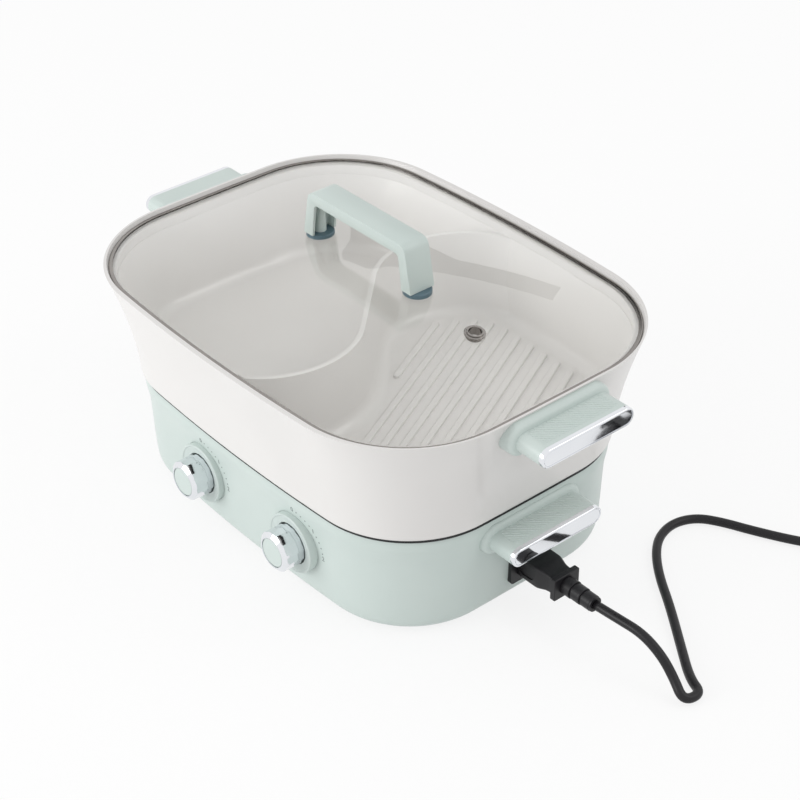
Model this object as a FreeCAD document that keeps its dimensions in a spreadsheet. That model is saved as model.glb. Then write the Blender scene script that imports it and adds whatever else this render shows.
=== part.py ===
import FreeCAD, Part
import math
import os
import Sketcher
from types import SimpleNamespace
from FreeCAD import Placement, Rotation, Vector

# Electric hot pot with a lift-off glass lid, in millimetres.
# +X is the right end with the mains inlet, -Y is the front with the two dials, +Z is up.
# The origin is on the table, under the middle of the pot.

# ---------------------------------------------------------------- driving dimensions
SIZES = {
    # plan outlines: half length along X, half width along Y, corner radius
    "rim_length": 210.0, "rim_width": 160.1, "rim_corner": 102.5,
    "seat_length": 187.5, "seat_width": 134.0, "seat_corner": 81.5,
    "lid_length": 206.8, "lid_width": 154.8, "lid_corner": 95.1,
    "side_bow": 1740.0, "end_bow": 5000.0,
    # heights above the table
    "foot_height": 2.5, "base_top": 95.0, "pot_bottom": 97.2, "rim_height": 196.8,
    "pot_underside": 111.0, "floor_left": 116.0, "floor_right": 120.0,
    "divider_top": 180.0, "ledge_height": 189.7,
    # heating base
    "base_wall": 3.0, "base_edge": 14.0, "base_lean": 3.2, "base_flange": 12.0,
    "cover_inset": 22.0, "cover_opening": 32.0, "cover_thick": 1.5,
    "gasket_outer": 1.5, "gasket_inner": 7.5, "gasket_thick": 1.9,
    "pan_rim": 8.0, "pan_wall": 12.3, "pan_thick": 1.0, "pan_floor": 66.0, "pan_round": 6.0,
    "plate_radius": 62.0, "plate_thick": 9.0, "plate_centre": 88.0, "plate_top": 110.7,
    "element_radius": 47.0, "element_tube": 3.5, "post_radius": 4.0, "post_circle": 26.0,
    "foot_x": 128.0, "foot_y": 78.0, "foot_radius": 9.0,
    "cover_screw_x": 150.0, "cover_screw_y": 60.0, "screw_head": 3.4, "screw_shank": 1.6,
    # dials
    "dial_left": -50.5, "dial_right": 67.5, "dial_height": 50.2, "dial_seat": 130.0,
    "bezel_radius": 25.5, "bezel_depth": 6.5, "dish_mouth": 21.5, "dish_radius": 17.5,
    "dish_floor": 2.5, "knob_radius": 16.8, "knob_back": 4.6, "knob_face": 24.4,
    "knob_cap_radius": 12.2, "knob_recess": 1.5, "collar_radius": 15.3, "shaft_radius": 3.0,
    "shaft_end": 14.0, "shaft_hole": 3.4, "neck_radius": 5.5,
    "thermostat_width": 34.0, "thermostat_height": 26.0, "thermostat_depth": 22.0,
    # carrying handles
    "pot_grip_end": 240.6, "base_grip_end": 215.1, "trim_thick": 4.0,
    "grip_half_width": 45.6, "grip_half_height": 7.9, "grip_flange": 6.6,
    "grip_root": 175.0, "base_flange_face": 191.0, "pot_flange_face": 211.0,
    "pot_grip_height": 181.9, "base_grip_height": 77.0, "grip_screw_y": 26.0,
    "grip_screw_head": 4.0, "grip_screw_shank": 2.0, "grip_screw_depth": 6.0, "grip_screw_reach": 18.0,
    # pot and divider
    "pot_foot": 3.8, "pot_wall": 5.0, "floor_wall": 9.0, "floor_round": 11.0, "pot_edge": 3.5,
    "lobe_x": 27.0, "lobe_y": 80.0, "lobe_radius": 75.0, "ridge_half": 1.8,
    "lobe_floor_x": 45.0, "lobe_floor_y": 63.0, "lobe_floor_radius": 69.0,
    "divider_foot": 8.0, "rib_width": 5.3, "rib_height": 2.4, "rib_pitch": 14.0,
    "rib_angle": 116.5, "rib_first": 12.6, "rib_margin": 5.0,
    "recess_foot": 1.3, "recess_mouth": 1.6, "ledge_width": 8.3,
    "hollow_mouth": 9.0, "hollow_top": 16.0,
    # lid
    "ring_bottom": 190.0, "ring_top": 194.3, "ring_band": 6.0, "ring_lean": 1.7,
    "glass_edge": 3.2, "glass_bottom": 190.6, "glass_thick": 3.1, "glass_flat": 8.0,
    "dome_height": 213.0, "lid_foot": 58.5, "lid_foot_width": 16.0, "lid_foot_height": 213.6,
    "lid_bar_end": 55.0, "lid_bar_top": 260.0, "lid_bar_thick": 12.5, "lid_bar_width": 24.0,
    "lid_inner_end": 43.5, "lid_outer_round": 8.0, "lid_inner_round": 5.0, "lid_screw_grip": 12.0,
    "washer_radius": 12.0, "lid_screw_radius": 2.5, "lid_screw_head": 5.5,
    "vent_x": 119.5, "vent_outer": 8.3, "vent_hole": 5.0, "vent_barrel": 6.3, "vent_bottom": 200.0, "vent_length": 4.5,
    # mains inlet and lead
    "inlet_y": 1.5, "inlet_z": 36.0, "inlet_face": 188.5, "inlet_half_width": 19.5,
    "inlet_half_height": 15.8, "socket_half_width": 15.0, "socket_half_height": 12.0,
    "socket_back": 166.0, "socket_depth": 17.5, "cavity_half_width": 12.6,
    "cavity_half_height": 8.8, "blade_length": 16.0, "blade_width": 4.0, "blade_thick": 2.0,
    "blade_pitch": 7.0, "connector_half_width": 13.0, "connector_half_height": 10.0,
    "connector_shoulder": 189.0, "connector_waist": 222.0, "connector_collar": 225.0,
    "connector_end": 229.0, "relief_end": 259.0, "cord_diameter": 7.5, "cord_floor": 3.95,
    "coil_x": 366.4, "coil_y": 205.7, "coil_inner": 27.5, "coil_outer": 52.0, "coil_turn": 7.9,
    "plug_x": 413.0, "plug_y": 251.2, "plug_z": 9.2, "plug_length": 40.0,
    "plug_half_width": 17.5, "plug_half_height": 9.0, "pin_radius": 2.4, "pin_length": 19.0,
    "pin_pitch": 19.0, "clearance": 0.3,
}


class Size:
    """A length that carries its number and the sheet expression that gives it."""

    def __init__(self, number, text):
        self.number = float(number)
        self.text = text

    def join(self, other, sign, number):
        return Size(number, f"({self.text} {sign} {as_size(other).text})")

    def __add__(self, other):
        return self.join(other, "+", self.number + as_size(other).number)

    def __sub__(self, other):
        return self.join(other, "-", self.number - as_size(other).number)

    def __mul__(self, other):
        return self.join(other, "*", self.number * as_size(other).number)

    def __truediv__(self, other):
        return self.join(other, "/", self.number / as_size(other).number)

    def __neg__(self):
        return Size(-self.number, f"(0 - {self.text})")

    def __radd__(self, other):
        return as_size(other) + self

    def __rsub__(self, other):
        return as_size(other) - self

    def __rmul__(self, other):
        return as_size(other) * self


def as_size(value):
    return value if isinstance(value, Size) else Size(value, f"({float(value)!r})")


doc = FreeCAD.newDocument("hot_pot")
sheet = doc.addObject("Spreadsheet::Sheet", "Sizes")
for row, (alias, value) in enumerate(SIZES.items(), start=1):
    sheet.set(f"A{row}", alias)
    sheet.set(f"B{row}", str(value))
    sheet.setAlias(f"B{row}", alias)
doc.recompute()
s = SimpleNamespace(**{alias: Size(sheet.get(alias), f"Sizes.{alias}") for alias in SIZES})
subparts = []


# ---------------------------------------------------------------- helpers
def bind(item, path, value):
    item.setExpression(path, as_size(value).text)


def keep(item, label):
    """Give a finished sub-part its own name, and note it for the export."""
    item.Label = label
    subparts.append(item)
    return item


def place(item, x=0.0, y=0.0, z=0.0, turn=None):
    corner = [as_size(v) for v in (x, y, z)]
    item.Placement = Placement(Vector(*[v.number for v in corner]), turn or Rotation())
    for axis, value in zip("xyz", corner):
        bind(item, f"Placement.Base.{axis}", value)
    return item


def primitive(kind, name, **sizes):
    """A Part primitive, such as a box or a cylinder, with its sizes bound to the sheet."""
    item = doc.addObject(f"Part::{kind}", name)
    for path, value in sizes.items():
        setattr(item, path, as_size(value).number)
        bind(item, path, value)
    return item


def joined(kind, name, shapes):
    item = doc.addObject(f"Part::{kind}", name)
    if kind == "Compound":
        item.Links = shapes
    else:
        item.Shapes = shapes
    return item


def cut(name, base, tool):
    item = doc.addObject("Part::Cut", name)
    item.Base = base
    item.Tool = tool
    return item


def solid_feature(name, shape):
    """A shape worked out from the sheet's numbers, for forms that no feature can draw."""
    item = doc.addObject("Part::Feature", name)
    item.Shape = shape
    item.Placement = Placement()
    return item


def new_body(name):
    return doc.addObject("PartDesign::Body", name)


def new_sketch(body, role, lift=0.0):
    sketch = body.newObject("Sketcher::SketchObject", f"{body.Name}_sketch")
    plane = [f for f in body.Origin.OriginFeatures if f.Role == role][0]
    sketch.AttachmentSupport = (plane, [""])
    sketch.MapMode = "FlatFace"
    sketch.AttachmentOffset = Placement(Vector(0, 0, as_size(lift).number), Rotation())
    bind(sketch, "AttachmentOffset.Base.z", lift)
    return sketch


def fix(sketch, kind, value, *where):
    value = as_size(value)
    index = sketch.addConstraint(Sketcher.Constraint(kind, *where, value.number))
    if "Sizes." in value.text:
        sketch.setExpression(f"Constraints[{index}]", value.text)


def polygon(sketch, corners):
    """A closed outline of straight lines, each corner held by its two coordinates."""
    points = [Vector(as_size(x).number, as_size(y).number, 0) for x, y in corners]
    first = sketch.GeometryCount
    count = len(points)
    for i, point in enumerate(points):
        sketch.addGeometry(Part.LineSegment(point, points[(i + 1) % count]), False)
    for i, (x, y) in enumerate(corners):
        following = first + (i + 1) % count
        sketch.addConstraint(Sketcher.Constraint("Coincident", first + i, 2, following, 1))
        fix(sketch, "DistanceX", x, first + i, 1)
        fix(sketch, "DistanceY", y, first + i, 1)
    return sketch


def rectangle(sketch, half_width, half_height, x=0.0, y=0.0):
    x, y = as_size(x), as_size(y)
    return polygon(sketch, [(x - half_width, y - half_height), (x + half_width, y - half_height),
                            (x + half_width, y + half_height), (x - half_width, y + half_height)])


def circle(sketch, radius, x=0.0, y=0.0):
    centre = Vector(as_size(x).number, as_size(y).number, 0)
    index = sketch.addGeometry(Part.Circle(centre, Vector(0, 0, 1), as_size(radius).number), False)
    fix(sketch, "Radius", radius, index)
    fix(sketch, "DistanceX", x, index, 3)
    fix(sketch, "DistanceY", y, index, 3)
    return sketch


def slot(sketch, half_length, radius):
    """A level slot outline about the sketch's origin: two straight edges and two half rounds."""
    reach, bow = (half_length - radius).number, as_size(radius).number
    up = Vector(0, 0, 1)
    right = Part.ArcOfCircle(Part.Circle(Vector(reach, 0, 0), up, bow), -math.pi / 2, math.pi / 2)
    left = Part.ArcOfCircle(Part.Circle(Vector(-reach, 0, 0), up, bow), math.pi / 2, -math.pi / 2)
    sketch.addGeometry([right, left], False)
    sketch.addGeometry(Part.LineSegment(Vector(reach, bow, 0), Vector(-reach, bow, 0)), False)
    sketch.addGeometry(Part.LineSegment(Vector(-reach, -bow, 0), Vector(reach, -bow, 0)), False)
    for ends in ((0, 2, 2, 1), (2, 2, 1, 1), (1, 2, 3, 1), (3, 2, 0, 1)):
        sketch.addConstraint(Sketcher.Constraint("Tangent", *ends))
    fix(sketch, "Radius", radius, 0)
    fix(sketch, "DistanceX", half_length - radius, 0, 3)
    fix(sketch, "DistanceX", radius - half_length, 1, 3)
    fix(sketch, "DistanceY", 0.0, 0, 3)
    fix(sketch, "DistanceY", 0.0, 1, 3)
    return sketch


def pad(body, sketch, length, both=False, back=False, pocket=False, taper=0.0):
    item = body.newObject("PartDesign::Pocket" if pocket else "PartDesign::Pad", f"{body.Name}_pad")
    item.Profile = sketch
    item.Length = as_size(length).number
    bind(item, "Length", length)
    item.Midplane = both
    item.Reversed = back
    item.TaperAngle = taper
    return item


def revolve(body, sketch, groove=False):
    item = body.newObject("PartDesign::Groove" if groove else "PartDesign::Revolution", f"{body.Name}_turn")
    item.Profile = sketch
    item.ReferenceAxis = (sketch, ["V_Axis"])
    item.Angle = 360.0
    return item


def dress(body, kind, size, wanted):
    """A fillet or chamfer on those edges of the body's last feature that the test picks."""
    doc.recompute()
    tip = body.Tip
    names = [f"Edge{i}" for i, edge in enumerate(tip.Shape.Edges, start=1) if wanted(edge)]
    item = body.newObject(f"PartDesign::{kind}", f"{body.Name}_{kind.lower()}")
    item.Base = (tip, names)
    path = "Radius" if kind == "Fillet" else "Size"
    setattr(item, path, as_size(size).number)
    bind(item, path, size)
    return item


def turned(name, profile):
    """A body turned about its own Z axis from a half profile of (radius, height) corners."""
    body = new_body(name)
    revolve(body, polygon(new_sketch(body, "XZ_Plane"), profile))
    return body


FACING_FRONT = Rotation(Vector(1, 0, 0), 90)
FACING_RIGHT = Rotation(Vector(0, 1, 0), 90)


# ---------------------------------------------------------------- plan outlines
def outline(length, width, corner, height, side=None, end=None):
    """A closed level outline of eight tangent arcs: bowed sides and ends, and round corners."""
    side = side or s.side_bow.number
    end = end or s.end_bow.number
    side_y, end_x = width - side, length - end
    # The corner's centre lies inside the side arc and the end arc by the corner radius.
    ra, rb = side - corner, end - corner
    gap = math.hypot(end_x, side_y)
    along = (ra * ra - rb * rb + gap * gap) / (2 * gap)
    across = math.sqrt(ra * ra - along * along)
    ux, uy = end_x / gap, -side_y / gap
    centres = [(along * ux - across * uy * k, side_y + along * uy + across * ux * k) for k in (1, -1)]
    cx, cy = max(centres)
    side_point = Vector(cx * side / ra, side_y + (cy - side_y) * side / ra, height)
    end_point = Vector(end_x + (cx - end_x) * end / rb, cy * end / rb, height)
    centre = Vector(cx, cy, height)
    middle = centre + ((side_point + end_point) * 0.5 - centre).normalize() * corner

    def mirrored(p, sx, sy):
        return Vector(p.x * sx, p.y * sy, height)

    edges = []
    for sx, sy in ((1, 1), (-1, 1), (-1, -1), (1, -1)):
        quarter = [mirrored(p, sx, sy) for p in (end_point, middle, side_point)]
        if sx * sy < 0:
            quarter.reverse()
        edges.append(Part.Arc(*quarter).toShape())
        last = quarter[-1]
        if sx * sy > 0:
            bridge = (last, Vector(0, width * sy, height), Vector(-last.x, last.y, height))
        else:
            bridge = (last, Vector(length * sx, 0, height), Vector(last.x, -last.y, height))
        edges.append(Part.Arc(*bridge).toShape())
    return Part.Wire(edges)


def seat_outline(height, grow=0.0):
    """The outline where pot and base meet, grown outwards by the given distance."""
    return outline(s.seat_length.number + grow, s.seat_width.number + grow,
                   s.seat_corner.number + grow, height,
                   s.side_bow.number + grow, s.end_bow.number + grow)


def lid_outline(height, grow=0.0):
    return outline(s.lid_length.number + grow, s.lid_width.number + grow,
                   s.lid_corner.number + grow, height)


def pot_outline(height, grow=0.0):
    """The pot's outside at a height: the seat outline, flaring ever faster towards the rim."""
    reach = s.rim_length.number - s.seat_length.number
    rise = (height - s.pot_bottom.number) / (s.rim_height - s.pot_bottom).number
    foot = s.pot_foot.number / reach
    share = foot + (1 - foot) * max(rise, 0.0) ** 1.65
    width = s.seat_width.number + share * (s.rim_width - s.seat_width).number
    corner = s.seat_corner.number + share * (s.rim_corner - s.seat_corner).number
    return outline(s.seat_length.number + share * reach + grow, width + grow, corner + grow, height)


def loft(wires, ruled=False):
    return Part.makeLoft(wires, True, ruled)


def prism(wire, height):
    return Part.Face(wire).extrude(Vector(0, 0, height))


def level_edges(shape, height, slack=0.2):
    return [e for e in shape.Edges
            if abs(e.BoundBox.ZMin - height) < slack and abs(e.BoundBox.ZMax - height) < slack]


# ---------------------------------------------------------------- pot
def divider_wire(height, grow=0.0):
    """The right compartment's side of the S-shaped divider, closed far outside the pot.

    It is a bulge round the back lobe, a straight flank and a hollow round the front lobe, and it
    moves with the height, because the flanks lean in towards the floors."""
    rise = (height - s.floor_left.number) / (s.divider_top - s.floor_left).number
    lobe_x = s.lobe_floor_x.number + rise * (s.lobe_x - s.lobe_floor_x).number
    lobe_y = s.lobe_floor_y.number + rise * (s.lobe_y - s.lobe_floor_y).number
    foot = s.lobe_floor_radius.number
    bulge = foot + rise * (s.lobe_radius.number - s.ridge_half.number - foot) + grow
    spread = s.divider_foot.number + rise * (s.ridge_half - s.divider_foot).number
    hollow = s.lobe_radius.number + spread - grow
    other_x, other_y = -s.lobe_x.number, -s.lobe_y.number
    gap = math.hypot(lobe_x - other_x, lobe_y - other_y)
    bearing = math.atan2(lobe_y - other_y, lobe_x - other_x)
    facing = bearing + math.asin((bulge + hollow) / gap) - math.pi / 2

    def round_lobe(x, y, radius, angle):
        return Vector(x + radius * math.cos(angle), y + radius * math.sin(angle), height)

    top, flank_top = math.pi / 2, facing + math.pi
    bottom = -math.pi / 2
    back = [round_lobe(lobe_x, lobe_y, bulge, a) for a in (top, (top + flank_top) / 2, flank_top)]
    front = [round_lobe(other_x, other_y, hollow, a) for a in (facing, (facing + bottom) / 2, bottom)]
    edges = [Part.Arc(*back).toShape(), Part.LineSegment(back[2], front[0]).toShape(),
             Part.Arc(*front).toShape()]
    reach_x, reach_y = s.rim_length.number * 1.25, s.rim_width.number * 1.25
    frame = [front[2], Vector(front[2].x, -reach_y, height), Vector(reach_x, -reach_y, height),
             Vector(reach_x, reach_y, height), Vector(back[0].x, reach_y, height), back[0]]
    edges += [Part.LineSegment(a, b).toShape() for a, b in zip(frame, frame[1:])]
    return Part.Wire(edges)


def compartment_side(bottom, top, grow=0.0):
    """Everything to the right of the divider between two heights."""
    return loft([divider_wire(bottom, grow), divider_wire(top, grow)], True)


def half_turn(shape):
    turned_shape = shape.copy()
    turned_shape.rotate(Vector(0, 0, 0), Vector(0, 0, 1), 180)
    return turned_shape


def pot_inside(bottom, top, layers=4):
    wires = []
    for i in range(layers + 1):
        height = bottom + (top - bottom) * i / layers
        depth = (height - s.floor_left.number) / (s.divider_top - s.floor_left).number
        wall = s.floor_wall.number + (s.pot_wall - s.floor_wall).number * min(depth, 1.0)
        wires.append(pot_outline(height, -wall))
    return loft(wires)


def compartment(side, floor):
    space = pot_inside(floor, s.divider_top.number).common(side).Solids[0]
    return space.makeFillet(s.floor_round.number, level_edges(space, floor))


def griddle_ribs(space):
    """Slanting ribs on the right compartment's floor, each as long as the floor allows."""
    floor = s.floor_right.number
    flat = [f for f in space.Faces if abs(f.BoundBox.ZMax - floor) < 0.01][0]
    field = Part.Face(flat.OuterWire.makeOffset2D(-s.rib_margin.number))
    angle = math.radians(s.rib_angle.number)
    along = Vector(math.cos(angle), math.sin(angle), 0)
    across = Vector(math.sin(angle), -math.cos(angle), 0)
    half, height = s.rib_width.number / 2, s.rib_height.number
    sunk = height / 4
    reach = s.rim_length.number * 1.5
    ribs = []
    for i in range(int(reach / s.rib_pitch.number)):
        middle = across * (s.rib_first.number + i * s.rib_pitch.number) + Vector(0, 0, floor)
        line = Part.LineSegment(middle - along * reach, middle + along * reach).toShape().common(field)
        for edge in line.Edges:
            if edge.Length < s.rib_pitch.number * 2:
                continue
            ends = sorted((v.Point for v in edge.Vertexes), key=lambda p: p.dot(along))
            low, high = ends[0] + along * half, ends[1] - along * half
            corners = [low - across * half, high - across * half, high + across * half, low + across * half]
            wire = Part.Wire([
                Part.LineSegment(corners[0], corners[1]).toShape(),
                Part.Arc(corners[1], high + along * half, corners[2]).toShape(),
                Part.LineSegment(corners[2], corners[3]).toShape(),
                Part.Arc(corners[3], low - along * half, corners[0]).toShape()])
            wire.translate(Vector(0, 0, -sunk))
            rib = prism(wire, height + sunk)
            ribs.append(rib.makeFillet(height * 0.45, level_edges(rib, floor + height)))
    return ribs


def pot_outside():
    bottom, rim = s.pot_bottom.number, s.rim_height.number
    outside = loft([pot_outline(bottom + (rim - bottom) * i / 6) for i in range(7)])
    return outside.makeFillet(s.pot_edge.number, level_edges(outside, bottom))


def pot_body(outside):
    """One casting: two compartments with leaning walls either side of the S-shaped divider."""
    bottom, rim, ledge = s.pot_bottom.number, s.rim_height.number, s.ledge_height.number
    divide, under = s.divider_top.number, s.pot_underside.number
    side = compartment_side(s.floor_left.number, divide)
    right = compartment(side, s.floor_right.number)
    left = compartment(half_turn(side), s.floor_left.number)
    over = 0.4
    above = loft([pot_outline(divide, over - s.pot_wall.number),
                  pot_outline(ledge + over, -s.ledge_width.number)], True)
    recess = loft([lid_outline(ledge, -s.recess_foot.number), lid_outline(rim + 1, s.recess_mouth.number)], True)
    hollow = loft([pot_outline(bottom - 1, -s.hollow_mouth.number),
                   pot_outline(under, -s.hollow_top.number)], True)
    shape = outside
    for tool in (right, left, above, recess, hollow):
        shape = shape.cut(tool)
    return shape.fuse(griddle_ribs(right))



# ---------------------------------------------------------------- carrying handles
def slot_rim(edge, face, radius):
    """Whether an edge lies on a level face of a slot-shaped piece, on the slot of that radius."""
    box = edge.BoundBox
    level = abs(box.XMin - face.number) < 0.01 and abs(box.XMax - face.number) < 0.01
    return level and abs(max(-box.ZMin, box.ZMax) - radius.number) < 0.01


def handle(prefix, height, flange_face, end, wall):
    """A moulded grip with a flange that seats on the wall, its chrome end trim and its screws."""
    body = new_body(f"{prefix}_grip_blank")
    flange = s.grip_half_height + s.grip_flange
    pad(body, slot(new_sketch(body, "YZ_Plane", s.grip_root), s.grip_half_width + s.grip_flange, flange),
        flange_face - s.grip_root)
    pad(body, slot(new_sketch(body, "YZ_Plane", s.grip_root), s.grip_half_width, s.grip_half_height),
        end - s.grip_root)
    dress(body, "Fillet", s.grip_flange * 0.45, lambda e: slot_rim(e, flange_face, flange))
    dress(body, "Fillet", s.grip_flange * 0.5, lambda e: slot_rim(e, flange_face, s.grip_half_height))
    for radius, start in ((s.grip_screw_shank, s.grip_root), (s.grip_screw_head, end - s.grip_screw_depth)):
        sketch = new_sketch(body, "YZ_Plane", end)
        circle(sketch, radius, -s.grip_screw_y)
        circle(sketch, radius, s.grip_screw_y)
        pad(body, sketch, end - start, pocket=True)
    place(body, z=height)
    grip = keep(cut(f"{prefix}_grip", body, wall), f"{prefix}_grip_right")

    trim = new_body(f"{prefix}_trim")
    pad(trim, slot(new_sketch(trim, "YZ_Plane", end), s.grip_half_width, s.grip_half_height), s.trim_thick)
    dress(trim, "Chamfer", s.trim_thick / 4, lambda e: slot_rim(e, end + s.trim_thick, s.grip_half_height))
    keep(place(trim, z=height), f"{prefix}_trim_right")

    screws = []
    for k in (-1, 1):
        screw = turned(f"{prefix}_screw", [
            (0, 0), (s.grip_screw_shank, 0), (s.grip_screw_shank, s.grip_screw_reach),
            (s.grip_screw_head, s.grip_screw_reach), (s.grip_screw_head, s.grip_screw_reach + 2.5),
            (0, s.grip_screw_reach + 2.5)])
        start = end - s.grip_screw_depth - s.grip_screw_reach
        screws.append(place(screw, start, s.grip_screw_y * k, height, FACING_RIGHT))
    screws = joined("Compound", f"{prefix}_screws_right", screws)
    for source, label in ((grip, "grip"), (trim, "trim"), (screws, "screws_other")):
        mirrored = doc.addObject("Part::Mirroring", f"{prefix}_{label}_left")
        mirrored.Source = source
        mirrored.Normal = (1, 0, 0)
        if label != "screws_other":
            keep(mirrored, f"{prefix}_{label}_left")
    keep(joined("Compound", f"{prefix}_handle_screws", [screws, mirrored]), f"{prefix}_handle_screws")


# ---------------------------------------------------------------- heating base
BASE_PROFILE = ((28.0, -2.5), (45.0, -1.9), (62.0, -1.3), (78.0, 0.2), (87.0, 1.6), (92.0, 1.1), (95.0, 0.3))


def base_loft(inset, top):
    """The housing's form, inset by a wall: a quarter-round bottom edge, upright sides, and a slight
    swell under the seam."""
    bend = s.base_edge.number
    centre_z, centre_grow = s.foot_height.number + bend, -s.base_lean.number - bend
    wires = []
    for step in range(6):
        angle = math.radians(18 * step)
        wires.append(seat_outline(centre_z - (bend - inset) * math.cos(angle),
                                  centre_grow + (bend - inset) * math.sin(angle)))
    wires += [seat_outline(z, grow - inset) for z, grow in BASE_PROFILE if z < top - 1]
    rest = [grow for z, grow in BASE_PROFILE if z >= top - 1]
    wires.append(seat_outline(top, rest[0] - inset))
    return loft(wires)


def upright(name, radius, x, y, bottom, top):
    """A vertical round bar between two heights."""
    return place(primitive("Cylinder", name, Radius=radius, Height=as_size(top) - bottom), x, y, bottom)


def across(name, radius, x, z, front, back):
    """A round bar that runs from the front towards the back."""
    bar = primitive("Cylinder", name, Radius=radius, Height=as_size(back) - front)
    return place(bar, x, front, z, Rotation(Vector(1, 0, 0), -90))


def block(name, x, y, z):
    """A box between two values along each axis."""
    sizes = {path: as_size(b) - a for path, (a, b) in zip(("Length", "Width", "Height"), (x, y, z))}
    return place(primitive("Box", name, **sizes), x[0], y[0], z[0])


def base_shell(outside, dials):
    floor = s.foot_height.number
    opening = prism(seat_outline(floor - 1, -s.cover_opening.number), s.base_wall.number + 2)
    recess = prism(seat_outline(floor - 1, -s.cover_inset.number), s.cover_thick.number + 1)
    top = s.base_top.number
    mouth = prism(seat_outline(top - s.base_wall.number - 1, -s.base_flange.number), s.base_wall.number + 2)
    inside = base_loft(s.base_wall.number, top - s.base_wall.number)
    hollows = solid_feature("base_hollows", inside.fuse([opening, recess, mouth]))
    tools = [hollows]
    for i, x in enumerate(dials):
        tools.append(across(f"dial_seat_{i}", s.bezel_radius + s.clearance, x, s.dial_height,
                            -(s.dial_seat + s.bezel_depth * 2), -s.dial_seat))
        tools.append(across(f"dial_hole_{i}", s.neck_radius, x, s.dial_height, -(s.dial_seat + 1),
                            s.base_wall * 3 - s.dial_seat))
    half = s.socket_half_width + s.clearance
    tools.append(block("inlet_hole", (s.socket_back, s.inlet_face + 1),
                       (s.inlet_y - half, s.inlet_y + half),
                       (s.inlet_z - s.socket_half_height - s.clearance,
                        s.inlet_z + s.socket_half_height + s.clearance)))
    for i, (x, y) in enumerate(COVER_SCREWS):
        tools.append(upright(f"shell_screw_hole_{i}", s.screw_shank + 0.1, x, y, s.foot_height,
                             s.foot_height + s.base_wall * 2))
    return keep(cut("base_shell", outside, joined("MultiFuse", "base_shell_tools", tools)), "base_shell")


def corners_of(x, y):
    return [(x * i, y * j) for i in (-1, 1) for j in (-1, 1)]


COVER_SCREWS = corners_of(s.cover_screw_x, s.cover_screw_y)


def bottom_cover():
    inset = s.cover_inset.number + s.clearance.number
    plate = solid_feature("cover_plate", prism(seat_outline(s.foot_height.number, -inset), s.cover_thick.number))
    holes = [upright(f"cover_screw_hole_{i}", s.screw_shank + 0.1, x, y, s.foot_height - 1,
                     s.foot_height + s.base_wall) for i, (x, y) in enumerate(COVER_SCREWS)]
    keep(cut("bottom_cover", plate, joined("MultiFuse", "cover_screw_holes", holes)), "bottom_cover")
    screws = []
    for i, (x, y) in enumerate(COVER_SCREWS):
        head = s.foot_height - 1
        screw = turned(f"cover_screw_{i}", [
            (0, 0), (s.screw_head, 0), (s.screw_head, 1), (s.screw_shank, 1),
            (s.screw_shank, s.base_wall + 3), (0, s.base_wall + 3)])
        screws.append(place(screw, x, y, head))
    keep(joined("Compound", "cover_screws", screws), "cover_screws")
    feet = []
    for i, (x, y) in enumerate(corners_of(s.foot_x, s.foot_y)):
        foot = turned(f"rubber_foot_{i}", [
            (0, 0), (s.foot_radius - 0.8, 0), (s.foot_radius, 0.8), (s.foot_radius, s.foot_height),
            (0, s.foot_height)])
        feet.append(place(foot, x, y))
    keep(joined("Compound", "rubber_feet", feet), "rubber_feet")


def level_ring(bottom, outer, inner, thick):
    ring = prism(seat_outline(bottom, -outer.number), thick.number)
    return ring.cut(prism(seat_outline(bottom - 1, -inner.number), thick.number + 2))


def base_insides():
    top, thick = s.base_top.number, s.pan_thick.number
    keep(solid_feature("gasket_ring", level_ring(top, s.gasket_outer, s.gasket_inner, s.gasket_thick)),
         "seat_gasket")
    floor = s.pan_floor.number
    outer = prism(seat_outline(floor - thick, -s.pan_wall.number), top + thick - floor + thick)
    outer = outer.makeFillet(s.pan_round.number, level_edges(outer, floor - thick))
    inner = prism(seat_outline(floor, -s.pan_wall.number - thick), top - floor + 2 * thick)
    inner = inner.makeFillet((s.pan_round - s.pan_thick).number, level_edges(inner, floor))
    rim = level_ring(top, s.pan_rim, s.pan_wall, s.pan_thick)
    keep(solid_feature("pan", outer.fuse(rim).cut(inner)), "heat_shield")
    posts = []
    for side, centre in (("left", -s.plate_centre), ("right", s.plate_centre)):
        plate = turned(f"heating_plate_{side}", [
            (0, 0), (s.plate_radius, 0), (s.plate_radius, s.plate_thick - 2), (s.plate_radius - 2, s.plate_thick),
            (0, s.plate_thick)])
        under = s.plate_top - s.plate_thick
        keep(place(plate, centre, 0, under), f"heating_plate_{side}")
        element = primitive("Torus", f"element_{side}", Radius1=s.element_radius, Radius2=s.element_tube)
        keep(place(element, centre, 0, under - s.element_tube), f"heating_element_{side}")
        for i in range(3):
            angle = math.radians(90 + 120 * i)
            posts.append(upright(f"post_{side}_{i}", s.post_radius, centre + s.post_circle * math.cos(angle),
                                 s.post_circle * math.sin(angle), s.pan_floor, under))
    keep(joined("Compound", "plate_posts", posts), "plate_posts")


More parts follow.
